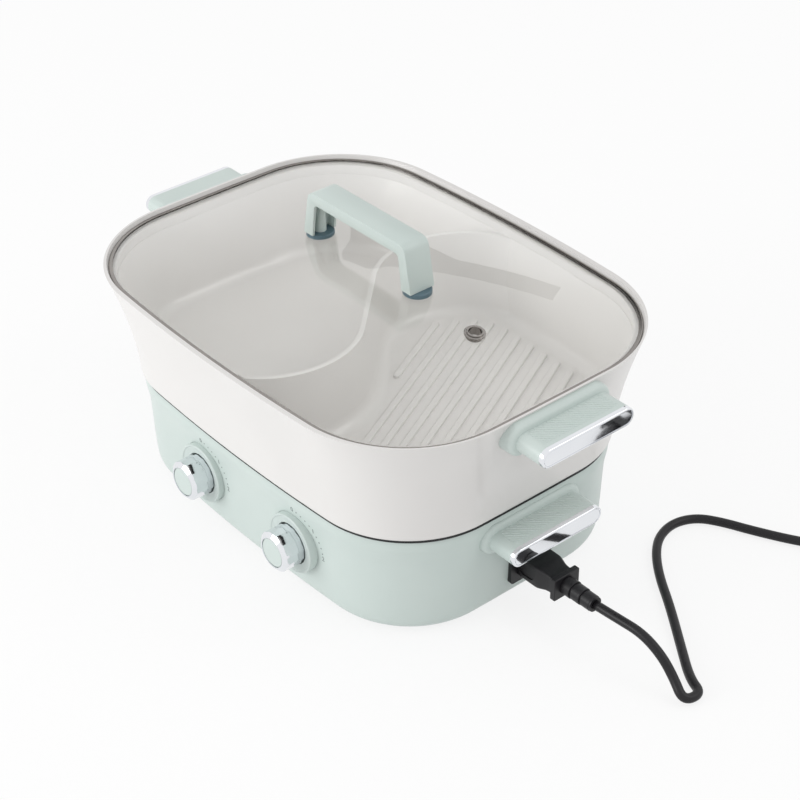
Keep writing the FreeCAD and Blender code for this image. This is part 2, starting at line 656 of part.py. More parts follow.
# ---------------------------------------------------------------- dials
def dial(side, x):
    """A fixed dished bezel and thermostat, and the knob, cap and shaft that turn together."""
    bezel = turned(f"bezel_{side}", [
        (s.shaft_hole, 0), (s.bezel_radius, 0), (s.bezel_radius, s.bezel_depth - 1),
        (s.bezel_radius - 1, s.bezel_depth), (s.dish_mouth, s.bezel_depth),
        (s.dish_radius, s.dish_floor), (s.shaft_hole, s.dish_floor)])
    keep(place(bezel, x, -s.dial_seat, s.dial_height, FACING_FRONT), f"dial_bezel_{side}")

    front = s.base_wall * 2 - s.dial_seat
    case = block(f"thermostat_case_{side}", (x - s.thermostat_width / 2, x + s.thermostat_width / 2),
                 (front, front + s.thermostat_depth),
                 (s.dial_height - s.thermostat_height / 2, s.dial_height + s.thermostat_height / 2))
    neck = across(f"thermostat_neck_{side}", s.neck_radius, x, s.dial_height, -s.dial_seat, front + 1)
    bore = across(f"thermostat_bore_{side}", s.shaft_hole, x, s.dial_height, -(s.dial_seat + 1),
                  s.shaft_end + 1 - s.dial_seat)
    whole = joined("MultiFuse", f"thermostat_whole_{side}", [case, neck])
    keep(cut(f"thermostat_{side}", whole, bore), f"thermostat_{side}")

    bore_end = s.knob_face - s.knob_recess - 4
    knob = turned(f"knob_blank_{side}", [
        (s.shaft_radius + 0.05, s.knob_back), (s.knob_radius - 0.8, s.knob_back), (s.knob_radius + 0.5, s.knob_back + 1.5),
        (s.knob_radius + 0.5, s.knob_face - 2.5), (s.knob_cap_radius + 1.6, s.knob_face),
        (s.knob_cap_radius + s.clearance, s.knob_face), (s.knob_cap_radius + s.clearance, s.knob_face - s.knob_recess),
        (0, s.knob_face - s.knob_recess), (0, bore_end), (s.shaft_radius + 0.05, bore_end)])
    flats = primitive("Prism", f"knob_flats_{side}", Circumradius=s.knob_radius, Height=s.knob_face)
    flats.Polygon = 20
    knurled = joined("MultiCommon", f"knob_{side}", [knob, flats])
    keep(place(knurled, x, -s.dial_seat, s.dial_height, FACING_FRONT), f"knob_{side}")

    cap = turned(f"cap_{side}", [
        (0, s.knob_face - s.knob_recess), (s.knob_cap_radius, s.knob_face - s.knob_recess),
        (s.knob_cap_radius, s.knob_face - 0.8), (s.knob_cap_radius - 0.6, s.knob_face - 0.2),
        (0, s.knob_face - 0.2)])
    keep(place(cap, x, -s.dial_seat, s.dial_height, FACING_FRONT), f"knob_cap_{side}")

    collar = s.dish_floor + 0.4
    shaft = turned(f"shaft_{side}", [
        (0, -s.shaft_end), (s.shaft_radius, -s.shaft_end), (s.shaft_radius, collar), (s.collar_radius, collar),
        (s.collar_radius, s.knob_back), (s.shaft_radius, s.knob_back), (s.shaft_radius, bore_end), (0, bore_end)])
    keep(place(shaft, x, -s.dial_seat, s.dial_height, FACING_FRONT), f"knob_shaft_{side}")


# ---------------------------------------------------------------- mains inlet
def inlet(outside):
    body = new_body("inlet_blank")
    y = s.inlet_y
    pad(body, rectangle(new_sketch(body, "YZ_Plane", s.socket_back), s.inlet_half_width, s.inlet_half_height, y),
        s.inlet_face - s.socket_back)
    pad(body, rectangle(new_sketch(body, "YZ_Plane", s.inlet_face), s.cavity_half_width, s.cavity_half_height, y),
        s.socket_depth, pocket=True)
    dress(body, "Fillet", s.base_wall, lambda e: e.BoundBox.XLength > s.socket_depth.number + 2)
    place(body, z=s.inlet_z)
    # The flange seats on the housing; only the narrower box passes through its opening.
    box = block("inlet_box", (s.socket_back, s.inlet_face), (y - s.socket_half_width, y + s.socket_half_width),
                (s.inlet_z - s.socket_half_height, s.inlet_z + s.socket_half_height))
    ring = cut("inlet_wall", outside, box)
    keep(cut("inlet_socket", body, ring), "inlet_socket")
    blades = []
    floor = s.inlet_face - s.socket_depth
    for i, (dy, dz) in enumerate(BLADES):
        blades.append(block(f"blade_{i}", (floor, floor + s.blade_length),
                            (y + dy - s.blade_thick / 2, y + dy + s.blade_thick / 2),
                            (s.inlet_z + dz - s.blade_width / 2, s.inlet_z + dz + s.blade_width / 2)))
    keep(joined("Compound", "inlet_pins", blades), "inlet_pins")


BLADES = ((-s.blade_pitch, -1.5), (s.blade_pitch, -1.5), (as_size(0), 2.0))


# ---------------------------------------------------------------- lid
def scaled(wire, share, height):
    matrix = FreeCAD.Matrix()
    matrix.scale(share, share, 1)
    smaller = wire.transformGeometry(matrix)
    smaller.translate(Vector(0, 0, height - smaller.BoundBox.ZMin))
    return Part.Wire(smaller.Edges)


def dome(lower):
    """A shallow dome on the lid's outline: steep near the rim, nearly flat on top."""
    edge = s.glass_bottom.number + s.glass_edge.number - lower
    rise = s.dome_height.number - lower - edge
    foot = lid_outline(edge, -s.glass_flat.number)
    return loft([foot] + [scaled(foot, share, edge + rise * (1 - share ** 2.4))
                          for share in (0.93, 0.8, 0.6, 0.35, 0.12)])


def lid():
    bottom, gap = s.glass_bottom.number, s.ring_lean.number + 1.5
    sheet_edge = prism(lid_outline(bottom, -gap), s.glass_edge.number)
    whole_dome = dome(0.0)
    solid = sheet_edge.fuse(whole_dome)
    filled = solid_feature("glass_filled", solid)
    hollow = solid_feature("glass_hollow", dome(s.glass_thick.number))
    holes = [hollow, upright("vent_bore", s.vent_barrel + 0.1, s.vent_x, 0, s.glass_bottom, s.dome_height)]
    for k in (-1, 1):
        holes.append(upright("handle_bore", s.lid_screw_radius + 0.1, s.lid_foot * k, 0, s.glass_bottom,
                             s.dome_height + 1))
    keep(cut("lid_glass", filled, joined("MultiFuse", "glass_tools", holes)), "lid_glass")

    low, high = s.ring_bottom.number, s.ring_top.number
    band = loft([lid_outline(low, -s.ring_lean.number), lid_outline(high)], True)
    band = band.cut(prism(lid_outline(low - 1, -s.ring_band.number), high - low + 2))
    keep(solid_feature("ring", band.cut(sheet_edge)), "lid_ring")

    arch = new_body("lid_arch")
    inner, outer = s.lid_foot - s.lid_foot_width / 2, s.lid_foot + s.lid_foot_width / 2
    under = s.lid_bar_top - s.lid_bar_thick
    sketch = polygon(new_sketch(arch, "XZ_Plane"), [
        (-outer, s.lid_foot_height), (-inner, s.lid_foot_height), (s.lid_inner_end * -1, under),
        (s.lid_inner_end, under), (inner, s.lid_foot_height), (outer, s.lid_foot_height),
        (s.lid_bar_end, s.lid_bar_top), (-s.lid_bar_end, s.lid_bar_top)])
    pad(arch, sketch, s.lid_bar_width, both=True)

    def corner(edge, height):
        box = edge.BoundBox
        return box.YLength > s.lid_bar_width.number - 1 and abs(box.ZMin - height.number) < 0.1

    dress(arch, "Fillet", s.lid_outer_round, lambda e: corner(e, s.lid_bar_top))
    dress(arch, "Fillet", s.lid_inner_round, lambda e: corner(e, under))
    bores = new_sketch(arch, "XY_Plane", s.lid_foot_height)
    circle(bores, s.lid_screw_radius + 0.1, s.lid_foot)
    circle(bores, s.lid_screw_radius + 0.1, -s.lid_foot)
    pad(arch, bores, s.lid_screw_grip + 1, pocket=True, back=True)
    keep(arch, "lid_handle")

    washers, screws = [], []
    for k in (-1, 1):
        x = s.lid_foot * k
        washers.append(upright("washer_blank", s.washer_radius, x, 0, s.dome_height - 6, s.lid_foot_height))
        head = s.dome_height - s.glass_thick - 4.0
        screw = turned("lid_screw", [
            (0, 0), (s.lid_screw_head, 0), (s.lid_screw_head, 2), (s.lid_screw_radius, 2),
            (s.lid_screw_radius, s.lid_foot_height + s.lid_screw_grip - head),
            (0, s.lid_foot_height + s.lid_screw_grip - head)])
        screws.append(place(screw, x, 0, head))
    bores = [upright("washer_bore", s.lid_screw_radius + 0.1, s.lid_foot * k, 0, s.glass_bottom, s.lid_bar_top)
             for k in (-1, 1)]
    washers = joined("MultiFuse", "washers_solid", washers)
    keep(cut("handle_washers", washers, joined("MultiFuse", "washer_tools", bores + [filled])), "handle_washers")
    keep(joined("Compound", "lid_screws", screws), "lid_screws")

    eyelet = turned("eyelet_blank", [
        (s.vent_hole, 0), (s.vent_barrel, 0), (s.vent_barrel, s.vent_length), (s.vent_outer, s.vent_length),
        (s.vent_outer, s.vent_length + 4), (s.vent_outer - 1.2, s.vent_length + 5.2),
        (s.vent_hole + 1, s.vent_length + 5.2), (s.vent_hole, s.vent_length + 4.2)])
    place(eyelet, s.vent_x, 0, s.vent_bottom)
    barrel = upright("eyelet_keep", s.vent_barrel, s.vent_x, 0, s.glass_bottom, s.dome_height)
    keep(cut("vent_eyelet", eyelet, cut("eyelet_seat", filled, barrel)), "vent_eyelet")


# ---------------------------------------------------------------- mains lead
ROUTE = [(259, 1.5, 36), (281, 2.5, 36.6), (304, 4.5, 36.4), (323, 5.8, 27), (336.5, 5.5, 14.5),
         (349.8, 2.6, 5.4), (352.2, 15.8, 4), (336, 23, 4), (310, 45, 4), (271, 73, 4), (243, 92, 4),
         (217, 121, 4), (206, 151, 4), (211, 166, 4), (224, 177, 4), (252, 190, 4), (285, 207.5, 4),
         (310, 224, 4), (330, 236, 4.6)]
TAIL = [(368, 253.6, 4), (384, 253.3, 4.5), (399, 252.4, 8.7), (413, 251.2, 9.2)]


def cord_tube(name, points):
    """A round cord along straight runs joined by tangent arcs, each as large as its runs allow."""
    points = [Vector(*p) for p in points]
    edges, start, radii = [], points[0], []
    for before, point, after in zip(points, points[1:], points[2:]):
        arrive, leave = (point - before), (after - point)
        turn = arrive.getAngle(leave)
        trim = 0.45 * min(arrive.Length, leave.Length)
        arrive.normalize()
        leave.normalize()
        radius = trim / math.tan(turn / 2)
        radii.append(round(radius))
        first, last = point - arrive * trim, point + leave * trim
        inward = (leave - arrive).normalize()
        middle = point + inward * (math.hypot(trim, radius) - radius)
        edges += [Part.LineSegment(start, first).toShape(), Part.Arc(first, middle, last).toShape()]
        start = last
    edges.append(Part.LineSegment(start, points[-1]).toShape())
    path = Part.Wire(edges)
    bore = s.cord_diameter.number / 2
    end = Part.Wire([Part.Circle(points[0], points[1] - points[0], bore).toShape()])
    tube = path.makePipeShell([end], True, False)
    share = tube.Volume / (math.pi * bore * bore * path.Length)
    print(name, "length", round(path.Length), "radii", radii, "volume share", round(share, 4))
    return keep(solid_feature(f"{name}_solid", tube), name)


def lead():
    y, z = s.inlet_y, s.inlet_z
    body = new_body("connector_blank")
    nose_w, nose_h = s.cavity_half_width - 0.4, s.cavity_half_height - 0.5
    start = s.inlet_face - s.socket_depth + 0.5
    wide, high = s.connector_half_width, s.connector_half_height
    pad(body, rectangle(new_sketch(body, "YZ_Plane", s.connector_shoulder), wide, high),
        s.connector_waist - s.connector_shoulder)
    dress(body, "Fillet", 3.0, lambda e: e.BoundBox.XLength > 30)
    pad(body, rectangle(new_sketch(body, "YZ_Plane", start), nose_w, nose_h), s.connector_shoulder - start + 1)
    pad(body, rectangle(new_sketch(body, "YZ_Plane", s.connector_waist - 1), wide - 2, high - 1.8),
        s.connector_end - s.connector_waist)
    pad(body, rectangle(new_sketch(body, "YZ_Plane", s.connector_collar), wide - 0.5, high - 0.3),
        s.connector_end - s.connector_collar)
    for dy, dz in BLADES:
        pad(body, rectangle(new_sketch(body, "YZ_Plane", start), s.blade_thick / 2 + s.clearance,
                            s.blade_width / 2 + s.clearance, dy, dz), s.blade_length, pocket=True, back=True)
    keep(place(body, 0, y, z), "connector_body")

    relief = turned("relief", [
        (0, 0), (7, 0), (7, 6), (5.8, 6.6), (5.8, 9.4), (6.8, 10), (6.8, 15), (5.6, 15.6), (5.6, 18.4),
        (6.4, 19), (6.0, s.relief_end - s.connector_end), (0, s.relief_end - s.connector_end)])
    keep(place(relief, s.connector_end, y, z, FACING_RIGHT), "strain_relief")
    cord_tube("cord_lead", ROUTE)
    cord_tube("cord_tail", TAIL)

    low, turn = s.cord_floor - s.cord_diameter / 2, s.coil_turn
    coil = turned("coil_blank", [
        (s.coil_inner, low), (s.coil_outer, low), (s.coil_outer, turn), (s.coil_outer - turn, turn),
        (s.coil_outer - turn * 1.3, turn * 1.96), (s.coil_inner + turn * 0.6, turn * 1.96),
        (s.coil_inner + turn * 0.4, turn), (s.coil_inner, turn)])
    keep(place(coil, s.coil_x, s.coil_y), "cord_coil")
    wrap = block("tie_block", (s.coil_x + s.coil_inner - 1, s.coil_x + s.coil_outer + 1),
                 (s.coil_y - 5, s.coil_y + 5), (low, turn * 2 + 1))
    keep(cut("coil_tie", wrap, coil), "coil_tie")

    plug = new_body("plug_blank")
    pad(plug, rectangle(new_sketch(plug, "YZ_Plane"), s.plug_half_width, s.plug_half_height), s.plug_length)
    dress(plug, "Fillet", 5.0, lambda e: e.BoundBox.XLength > 20)
    keep(place(plug, s.plug_x, s.plug_y, s.plug_z), "plug_body")
    pins = []
    for k in (-0.5, 0.5):
        pin = turned("plug_pin", [
            (0, 0), (s.pin_radius, 0), (s.pin_radius, s.pin_length - 1), (s.pin_radius - 1, s.pin_length),
            (0, s.pin_length)])
        pins.append(place(pin, s.plug_x + s.plug_length, s.plug_y + s.pin_pitch * k, s.plug_z, FACING_RIGHT))
    keep(joined("Compound", "plug_pins", pins), "plug_pins")


# ---------------------------------------------------------------- the whole hot pot
pot_block = solid_feature("pot_block", pot_outside())
keep(solid_feature("pot_casting", pot_body(pot_block.Shape)), "pot_body")
handle("pot", s.pot_grip_height, s.pot_flange_face, s.pot_grip_end, pot_block)
base_block = solid_feature("base_block", base_loft(0.0, s.base_top.number))
DIALS = {"left": s.dial_left, "right": s.dial_right}
base_shell(base_block, DIALS.values())
bottom_cover()
base_insides()
handle("base", s.base_grip_height, s.base_flange_face, s.base_grip_end, base_block)
for side, x in DIALS.items():
    dial(side, x)
inlet(base_block)
lid()
lead()

# ---------------------------------------------------------------- checks and export
doc.recompute()
for item in doc.Objects:
    if {"Invalid", "Error"} & set(item.State):
        raise RuntimeError(f"{item.Label} did not compute: {item.State}")
for item in subparts:
    if item.Shape.isNull() or not item.Shape.isValid() or not item.Shape.Solids:
        raise RuntimeError(f"{item.Label} has no valid shape")

os.makedirs("parts", exist_ok=True)
for item in subparts:
    item.Shape.exportStep(f"parts/{item.Label}.step")
    print(item.Label, "solids", len(item.Shape.Solids), "volume", round(item.Shape.Volume))
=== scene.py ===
# %% [markdown]
# An electric hot pot, dressed round its construction model.
# The construction model gives every solid in its place and at its real size. This script gives the
# solids their finishes and some of them a finer form, and it adds what a solid model leaves out: a
# smooth cord, raised ribs, printed marks and the studio round the pot.

# %% Load the frame
import math

import bmesh
import bpy
from mathutils import Matrix, Vector
from mathutils.bvhtree import BVHTree


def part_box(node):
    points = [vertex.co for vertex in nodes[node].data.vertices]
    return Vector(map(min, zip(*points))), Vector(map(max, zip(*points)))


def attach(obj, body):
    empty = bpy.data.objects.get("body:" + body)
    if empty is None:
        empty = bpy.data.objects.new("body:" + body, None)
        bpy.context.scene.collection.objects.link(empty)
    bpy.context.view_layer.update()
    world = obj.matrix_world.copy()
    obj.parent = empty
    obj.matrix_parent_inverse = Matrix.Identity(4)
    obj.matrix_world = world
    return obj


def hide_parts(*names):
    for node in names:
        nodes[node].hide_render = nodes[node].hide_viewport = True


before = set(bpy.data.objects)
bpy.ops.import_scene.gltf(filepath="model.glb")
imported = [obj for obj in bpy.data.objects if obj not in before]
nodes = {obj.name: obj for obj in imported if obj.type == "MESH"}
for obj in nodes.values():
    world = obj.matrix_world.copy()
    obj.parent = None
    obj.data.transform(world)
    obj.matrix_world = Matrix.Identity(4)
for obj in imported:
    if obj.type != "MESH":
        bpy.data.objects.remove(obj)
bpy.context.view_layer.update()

MM = 0.001

# %% [markdown]
# The camera stands in front of the right end, a little above the lid, as a person at the table
# would look down at the pot. A long lens keeps the walls nearly parallel. The view is a turn round
# the pot, a height angle and a distance, so each number can be read and changed on its own. The
# small shift only centres the pot in the picture.

# %% Camera
AZIMUTH, ELEVATION, ROLL = 51.03, 34.43, 1.18
DISTANCE = 1564.4 * MM
TARGET = Vector((0.0, 0.0, 100.0)) * MM
LENS, SENSOR = 86.78, 36.0
SHIFT = (0.0371, -0.0174)
FARTHEST_SEEN = 20.0


def camera_axes(azimuth, elevation, roll):
    """Right, up and backward directions of a camera that looks at the pot."""
    a, e, r = (math.radians(v) for v in (azimuth, elevation, roll))
    back = Vector((math.sin(a) * math.cos(e), -math.cos(a) * math.cos(e), math.sin(e)))
    right = Vector((math.cos(a), math.sin(a), 0.0))
    up = back.cross(right)
    return math.cos(r) * right - math.sin(r) * up, math.sin(r) * right + math.cos(r) * up, back


def placed(name, data):
    """A new object in the scene that holds some data."""
    item = bpy.data.objects.new(name, data)
    bpy.context.scene.collection.objects.link(item)
    return item


camera_data = bpy.data.cameras.new("camera")
camera_data.lens, camera_data.sensor_width = LENS, SENSOR
camera_data.shift_x, camera_data.shift_y = SHIFT
camera_data.clip_end = FARTHEST_SEEN
camera = placed("camera", camera_data)
right_axis, up_axis, back_axis = camera_axes(AZIMUTH, ELEVATION, ROLL)
turn = Matrix((right_axis, up_axis, back_axis)).transposed().to_4x4()
camera.matrix_world = Matrix.Translation(TARGET + back_axis * DISTANCE) @ turn
bpy.context.scene.camera = camera
bpy.context.scene.view_settings.view_transform = "Standard"
print("camera at", [round(v, 3) for v in camera.matrix_world.translation])

# %% [markdown]
# The mains lead is a round cord 7.5 mm thick. It leaves the connector level, stands off stiffly,
# bends down to the table, folds back on itself and runs away behind the pot. That part is free, so
# its points are listed one by one. The rest is put away as it comes out of its box: a neat round coil in a
# tie, with the plug beside it. A coil follows a rule, so loops work out its points.

# %% Cord route
CORD = 7.5 * MM
ROUTE = [(259, 1.5, 36), (281, 2.5, 36.6), (304, 4.5, 36.4), (323, 5.8, 27), (336.5, 5.5, 14.5),
         (351.0, 0.6, 5.2), (353.6, 17.6, 4), (337, 23, 4), (310, 43, 4), (272, 71.3, 4), (243, 90.5, 4),
         (221, 109.5, 4), (208, 127.5, 4), (203.8, 148.5, 4), (211.5, 167.5, 4), (229, 179, 4),
         (252, 189, 4), (284, 205.5, 4), (310, 224, 4), (330, 236, 4.6)]
TAIL = [(384, 253.3, 4.5), (399, 252.4, 8.7), (413, 251.2, 9.2)]
print("route points", len(ROUTE), "and", len(TAIL))

# %% The coil
COIL_CENTRE = (366.4, 205.7)
COIL_ENTRY, COIL_EXIT = 118.7, 90.0
TOP_TURNS, FLOOR_TURNS = 1.0, 2.0 + (COIL_ENTRY - COIL_EXIT) / 360
ENTRY_RADIUS, TOP_RADIUS, TOP_DRIFT = 50.0, 37.5, 3.0
ENTRY_HEIGHT, CLIMB, SETTLE = 4.6, 7.4, 0.6
FLOOR_INNER, FLOOR_OUTER, TUCK = 35.0, 47.9, 3.5
FLOOR_HEIGHT, DROP = 4.0, 7.0
INWARD_SHARE, CLIMB_SHARE, TUCK_SHARE, DROP_SHARE = 0.3, 0.2, 0.25, 1 / 6
STEPS_PER_TURN = 16


def top_turn(share):
    """Radius and height of the turn that climbs over the others, from 0 at its start to 1."""
    inward, up = min(share / INWARD_SHARE, 1.0), min(share / CLIMB_SHARE, 1.0)
    radius = ENTRY_RADIUS - (ENTRY_RADIUS - TOP_RADIUS) * inward - TOP_DRIFT * share
    return radius, ENTRY_HEIGHT + CLIMB * up - SETTLE * share


def floor_turns(share):
    """Radius and height of the turns on the floor, which widen by a little less than a cord's width."""
    tuck = TUCK * math.sin(math.pi * min(share / TUCK_SHARE, 1.0))
    radius = FLOOR_INNER - tuck + (FLOOR_OUTER - FLOOR_INNER) * share
    return radius, FLOOR_HEIGHT + DROP * max(0.0, 1 - share / DROP_SHARE)


def coil_points():
    """The coil's turns, clockwise from above: one over the floor turns, then down and outwards."""
    points, turned_before = [], 0.0
    for turns, path in ((TOP_TURNS, top_turn), (FLOOR_TURNS, floor_turns)):
        count = int(turns * STEPS_PER_TURN)
        for i in range(1, count + 1):
            share = i / count
            angle = math.radians(COIL_ENTRY - 360 * (turned_before + turns * share))
            radius, height = path(share)
            points.append((COIL_CENTRE[0] + radius * math.cos(angle),
                           COIL_CENTRE[1] + radius * math.sin(angle), height))
        turned_before += turns
    return points


print("coil points", len(coil_points()))

# %% [markdown]
# A NURBS curve of order 3 follows the points in one smooth line, as a real cord does. Given a
# thickness it becomes a round tube, and the tube is then turned into a plain mesh whose faces point
# outwards. Its middle line is taken first, as points with no two at the same place.

# %% From a route to a mesh
SAME_POINT, SHORTEST_STEP = 0.001 * MM, 0.1 * MM


def route_curve(points):
    """One open NURBS spline with the route's points as its control points."""
    data = bpy.data.curves.new("route", "CURVE")
    data.dimensions = "3D"
    spline = data.splines.new("NURBS")
    spline.points.add(len(points) - 1)
    for point, place in zip(spline.points, points):
        point.co = (*(v * MM for v in place), 1.0)
    spline.order_u = 3
    spline.use_endpoint_u = True
    data.resolution_u = 8
    data.bevel_resolution = 8
    data.use_fill_caps = True
    return placed("route", data)


def as_mesh(piece):
    """A plain mesh of a piece as it looks with its thickness and its modifiers."""
    bpy.context.view_layer.update()
    return bpy.data.meshes.new_from_object(piece.evaluated_get(bpy.context.evaluated_depsgraph_get()))


def turn_outwards(mesh):
    """Merges a mesh's doubled points and turns its faces outwards."""
    cleaner = bmesh.new()
    cleaner.from_mesh(mesh)
    bmesh.ops.remove_doubles(cleaner, verts=cleaner.verts, dist=SAME_POINT)
    bmesh.ops.recalc_face_normals(cleaner, faces=cleaner.faces)
    cleaner.to_mesh(mesh)
    cleaner.free()
    return mesh


def new_piece(name, mesh):
    """A clean mesh piece at the origin."""
    return placed(name, turn_outwards(mesh))


# %% The mains cord
route = route_curve(ROUTE + coil_points() + TAIL)
cord_line = []
for vertex in as_mesh(route).vertices:
    if not cord_line or (vertex.co - cord_line[-1]).length > SHORTEST_STEP:
        cord_line.append(vertex.co.copy())
route.data.bevel_depth = CORD / 2
cord = new_piece("mains_cord", as_mesh(route))
cord.data.shade_smooth()
bpy.data.objects.remove(route)

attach(cord, "lead")
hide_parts("cord_lead", "cord_coil", "cord_tail")

# %% [markdown]
# Every finish starts from its real material. One function turns a colour as a painter writes it
# into the linear values that a renderer needs, and one function adds a node with its settings and
# its links. Patterns are measured in millimetres on the object itself. The skin of moulded plastic
# or plated metal is finer than this picture can show, so it is drawn as coarse as it needs to show.

# %% Colours and nodes
def linear(code):
    """A linear RGBA colour from an sRGB hex code."""
    values = [int(code[i:i + 2], 16) / 255 for i in (1, 3, 5)]
    return [v / 12.92 if v <= 0.04045 else ((v + 0.055) / 1.055) ** 2.4 for v in values] + [1.0]


def add(tree, kind, settings=None, inputs=None):
    """A new node, with its own settings, and its inputs set to values or linked to sockets."""
    node = tree.nodes.new(kind)
    for name, value in (settings or {}).items():
        setattr(node, name, value)
    for name, value in (inputs or {}).items():
        if isinstance(value, bpy.types.NodeSocket):
            tree.links.new(value, node.inputs[name])
        else:
            node.inputs[name].default_value = value
    return node


def new_material(name):
    """A material with an empty tree that holds only its output."""
    material = bpy.data.materials.new(name)
    material.use_nodes = True
    material.node_tree.nodes.clear()
    return material, material.node_tree, add(material.node_tree, "ShaderNodeOutputMaterial")


def grain(tree, size_mm, detail=2.0):
    """Soft random grain of a real size, on the object's own coordinates."""
    place = add(tree, "ShaderNodeTexCoord").outputs["Object"]
    return add(tree, "ShaderNodeTexNoise", inputs={
        "Vector": place, "Scale": 1 / (size_mm * MM), "Detail": detail}).outputs["Fac"]


# %% A surface with drifting colour and a fine skin
DRIFT_STOPS, SKIN_DETAIL = (0.3, 0.7), 3.0


def coated(name, first, second, patch_mm, skin_mm, depth_mm, rough, settings):
    """A surface with a slow colour drift, and a fine skin that gives it relief and uneven gloss."""
    material, tree, output = new_material(name)
    drift = add(tree, "ShaderNodeValToRGB", inputs={"Fac": grain(tree, patch_mm)})
    for stop, place, code in zip(drift.color_ramp.elements, DRIFT_STOPS, (first, second)):
        stop.position, stop.color = place, linear(code)
    skin = grain(tree, skin_mm, SKIN_DETAIL)
    gloss = add(tree, "ShaderNodeMapRange", inputs={"Value": skin, "To Min": rough[0], "To Max": rough[1]})
    shader = add(tree, "ShaderNodeBsdfPrincipled", inputs={
        "Base Color": drift.outputs["Color"], "Roughness": gloss.outputs["Result"], **settings})
    if depth_mm:
        relief = add(tree, "ShaderNodeBump", inputs={"Height": skin, "Distance": depth_mm * MM})
        tree.links.new(relief.outputs["Normal"], shader.inputs["Normal"])
    tree.links.new(shader.outputs["BSDF"], output.inputs["Surface"])
    return material


# %% [markdown]
# The base, the grips and the lid's bar are moulded ABS in a pale mint. A polished mould gives ABS a
# satin face with a very fine orange peel, so its highlights are soft and slightly broken.

# %% Mint ABS
mint_abs = coated("mint_abs", "#C3CFCB", "#C7D2CE", 60.0, 0.9, 0.003, (0.30, 0.40),
                  {"IOR": 1.53, "Specular IOR Level": 0.5})
print("finish", mint_abs.name)

# %% [markdown]
# The pot is cast aluminium under a sprayed ceramic coating. The coating is off-white, a little
# warm, and smooth enough to shine softly. It flows out flat before it is fired, so it has no relief
# of its own, and only its colour and its gloss drift a little from place to place.

# %% Ceramic coating
ceramic = coated("ceramic_coating", "#DCDAD8", "#DFDDDB", 80.0, 20.0, 0.0, (0.30, 0.34),
                 {"IOR": 1.5, "Coat Weight": 0.25, "Coat Roughness": 0.12})
print("finish", ceramic.name)

# %% [markdown]
# Plated plastic looks like polished chrome: a mirror with almost no colour of its own. The lid's rim
# and eyelet are stainless steel, rolled and then buffed, so they mirror nearly as sharply. The other
# metals show from below, with the pot lifted, or at the plug. Zinc-plated steel has a fine grain that
# blurs its shine, cast aluminium is rougher and paler, and nickel-plated brass keeps a warm tone.

# %% Chrome and steel
METAL = {"Metallic": 1.0}
chrome = coated("chrome_plate", "#E4E6EA", "#E9EBEE", 40.0, 4.0, 0.004, (0.03, 0.07), METAL)
rim_steel = coated("polished_steel", "#8F8B88", "#999591", 25.0, 0.8, 0.003, (0.10, 0.16), METAL)
zinc_steel = coated("zinc_steel", "#A9ACB0", "#B6B9BC", 12.0, 0.7, 0.01, (0.3, 0.42), METAL)
cast_aluminium = coated("cast_aluminium", "#B4B5B7", "#BFC0C2", 14.0, 0.9, 0.03, (0.38, 0.5), METAL)
nickel_brass = coated("nickel_brass", "#C9BF9F", "#D2C8A8", 10.0, 0.6, 0.006, (0.29, 0.35), METAL)
print("metals", [m.name for m in (chrome, rim_steel, zinc_steel, cast_aluminium, nickel_brass)])

# %% [markdown]
# The lead is PVC and its connector is polyamide, both near black. PVC has a soft sheen from being
# extruded, and polyamide is duller, with the fine spark-eroded texture of its mould. The feet and the
# ring under the pot are black silicone, which is the most matt of them. The washers under the lid's
# handle are silicone too, in slate blue and from a smooth mould.

# %% Black plastics and rubber
cord_pvc = coated("cord_pvc", "#171619", "#1C1B1E", 30.0, 0.8, 0.01, (0.34, 0.44),
                  {"IOR": 1.53, "Specular IOR Level": 0.3})
polyamide = coated("black_polyamide", "#161518", "#1A191C", 18.0, 0.6, 0.02, (0.38, 0.5),
                   {"IOR": 1.53, "Specular IOR Level": 0.35})
silicone = coated("dark_silicone", "#1A1A1B", "#212122", 18.0, 0.7, 0.01, (0.5, 0.6), {"IOR": 1.43})
slate_silicone = coated("slate_silicone", "#50666F", "#5A717B", 12.0, 0.8, 0.004, (0.3, 0.36), {"IOR": 1.43})
print("dark finishes", [m.name for m in (cord_pvc, polyamide, silicone, slate_silicone)])

# %% [markdown]
# The lid is clear tempered glass, about 3 mm thick, with a faint warm grey tint. Real glass lets
# nearly all light through to what it covers, but a path tracer can't aim light through a bent
# pane. So shadow rays, and the rays that light a matt surface, pass straight on as through a clear
# film, and only the eye and mirrors see the glass bend and shine.

# %% Tempered glass
WAVE_LENGTH, WAVE_DEPTH = 90.0, 0.01


def is_ray(tree, *kinds):
    """1 for rays of any of these kinds, and 0 for all others."""
    path = add(tree, "ShaderNodeLightPath").outputs
    found = path[f"Is {kinds[0]} Ray"]
    for kind in kinds[1:]:
        found = add(tree, "ShaderNodeMath", {"operation": "MAXIMUM"}, {
            0: found, 1: path[f"Is {kind} Ray"]}).outputs["Value"]
    return found


def clear_glass():
    """Glass with the slow, shallow waves that tempering leaves in it."""
    material, tree, output = new_material("tempered_glass")
    waves = add(tree, "ShaderNodeBump", inputs={
        "Height": grain(tree, WAVE_LENGTH), "Distance": WAVE_DEPTH * MM})
    pane = add(tree, "ShaderNodeBsdfPrincipled", inputs={
        "Base Color": linear("#FDFDFC"), "Roughness": 0.0, "IOR": 1.5, "Transmission Weight": 1.0,
        "Normal": waves.outputs["Normal"]})
    clear = add(tree, "ShaderNodeBsdfTransparent", inputs={"Color": linear("#FEFEFD")})
    mix = add(tree, "ShaderNodeMixShader", inputs={
        0: is_ray(tree, "Shadow", "Diffuse"), 1: pane.outputs["BSDF"], 2: clear.outputs["BSDF"]})
    tree.links.new(mix.outputs["Shader"], output.inputs["Surface"])
    return material


glass = clear_glass()
print("finish", glass.name)

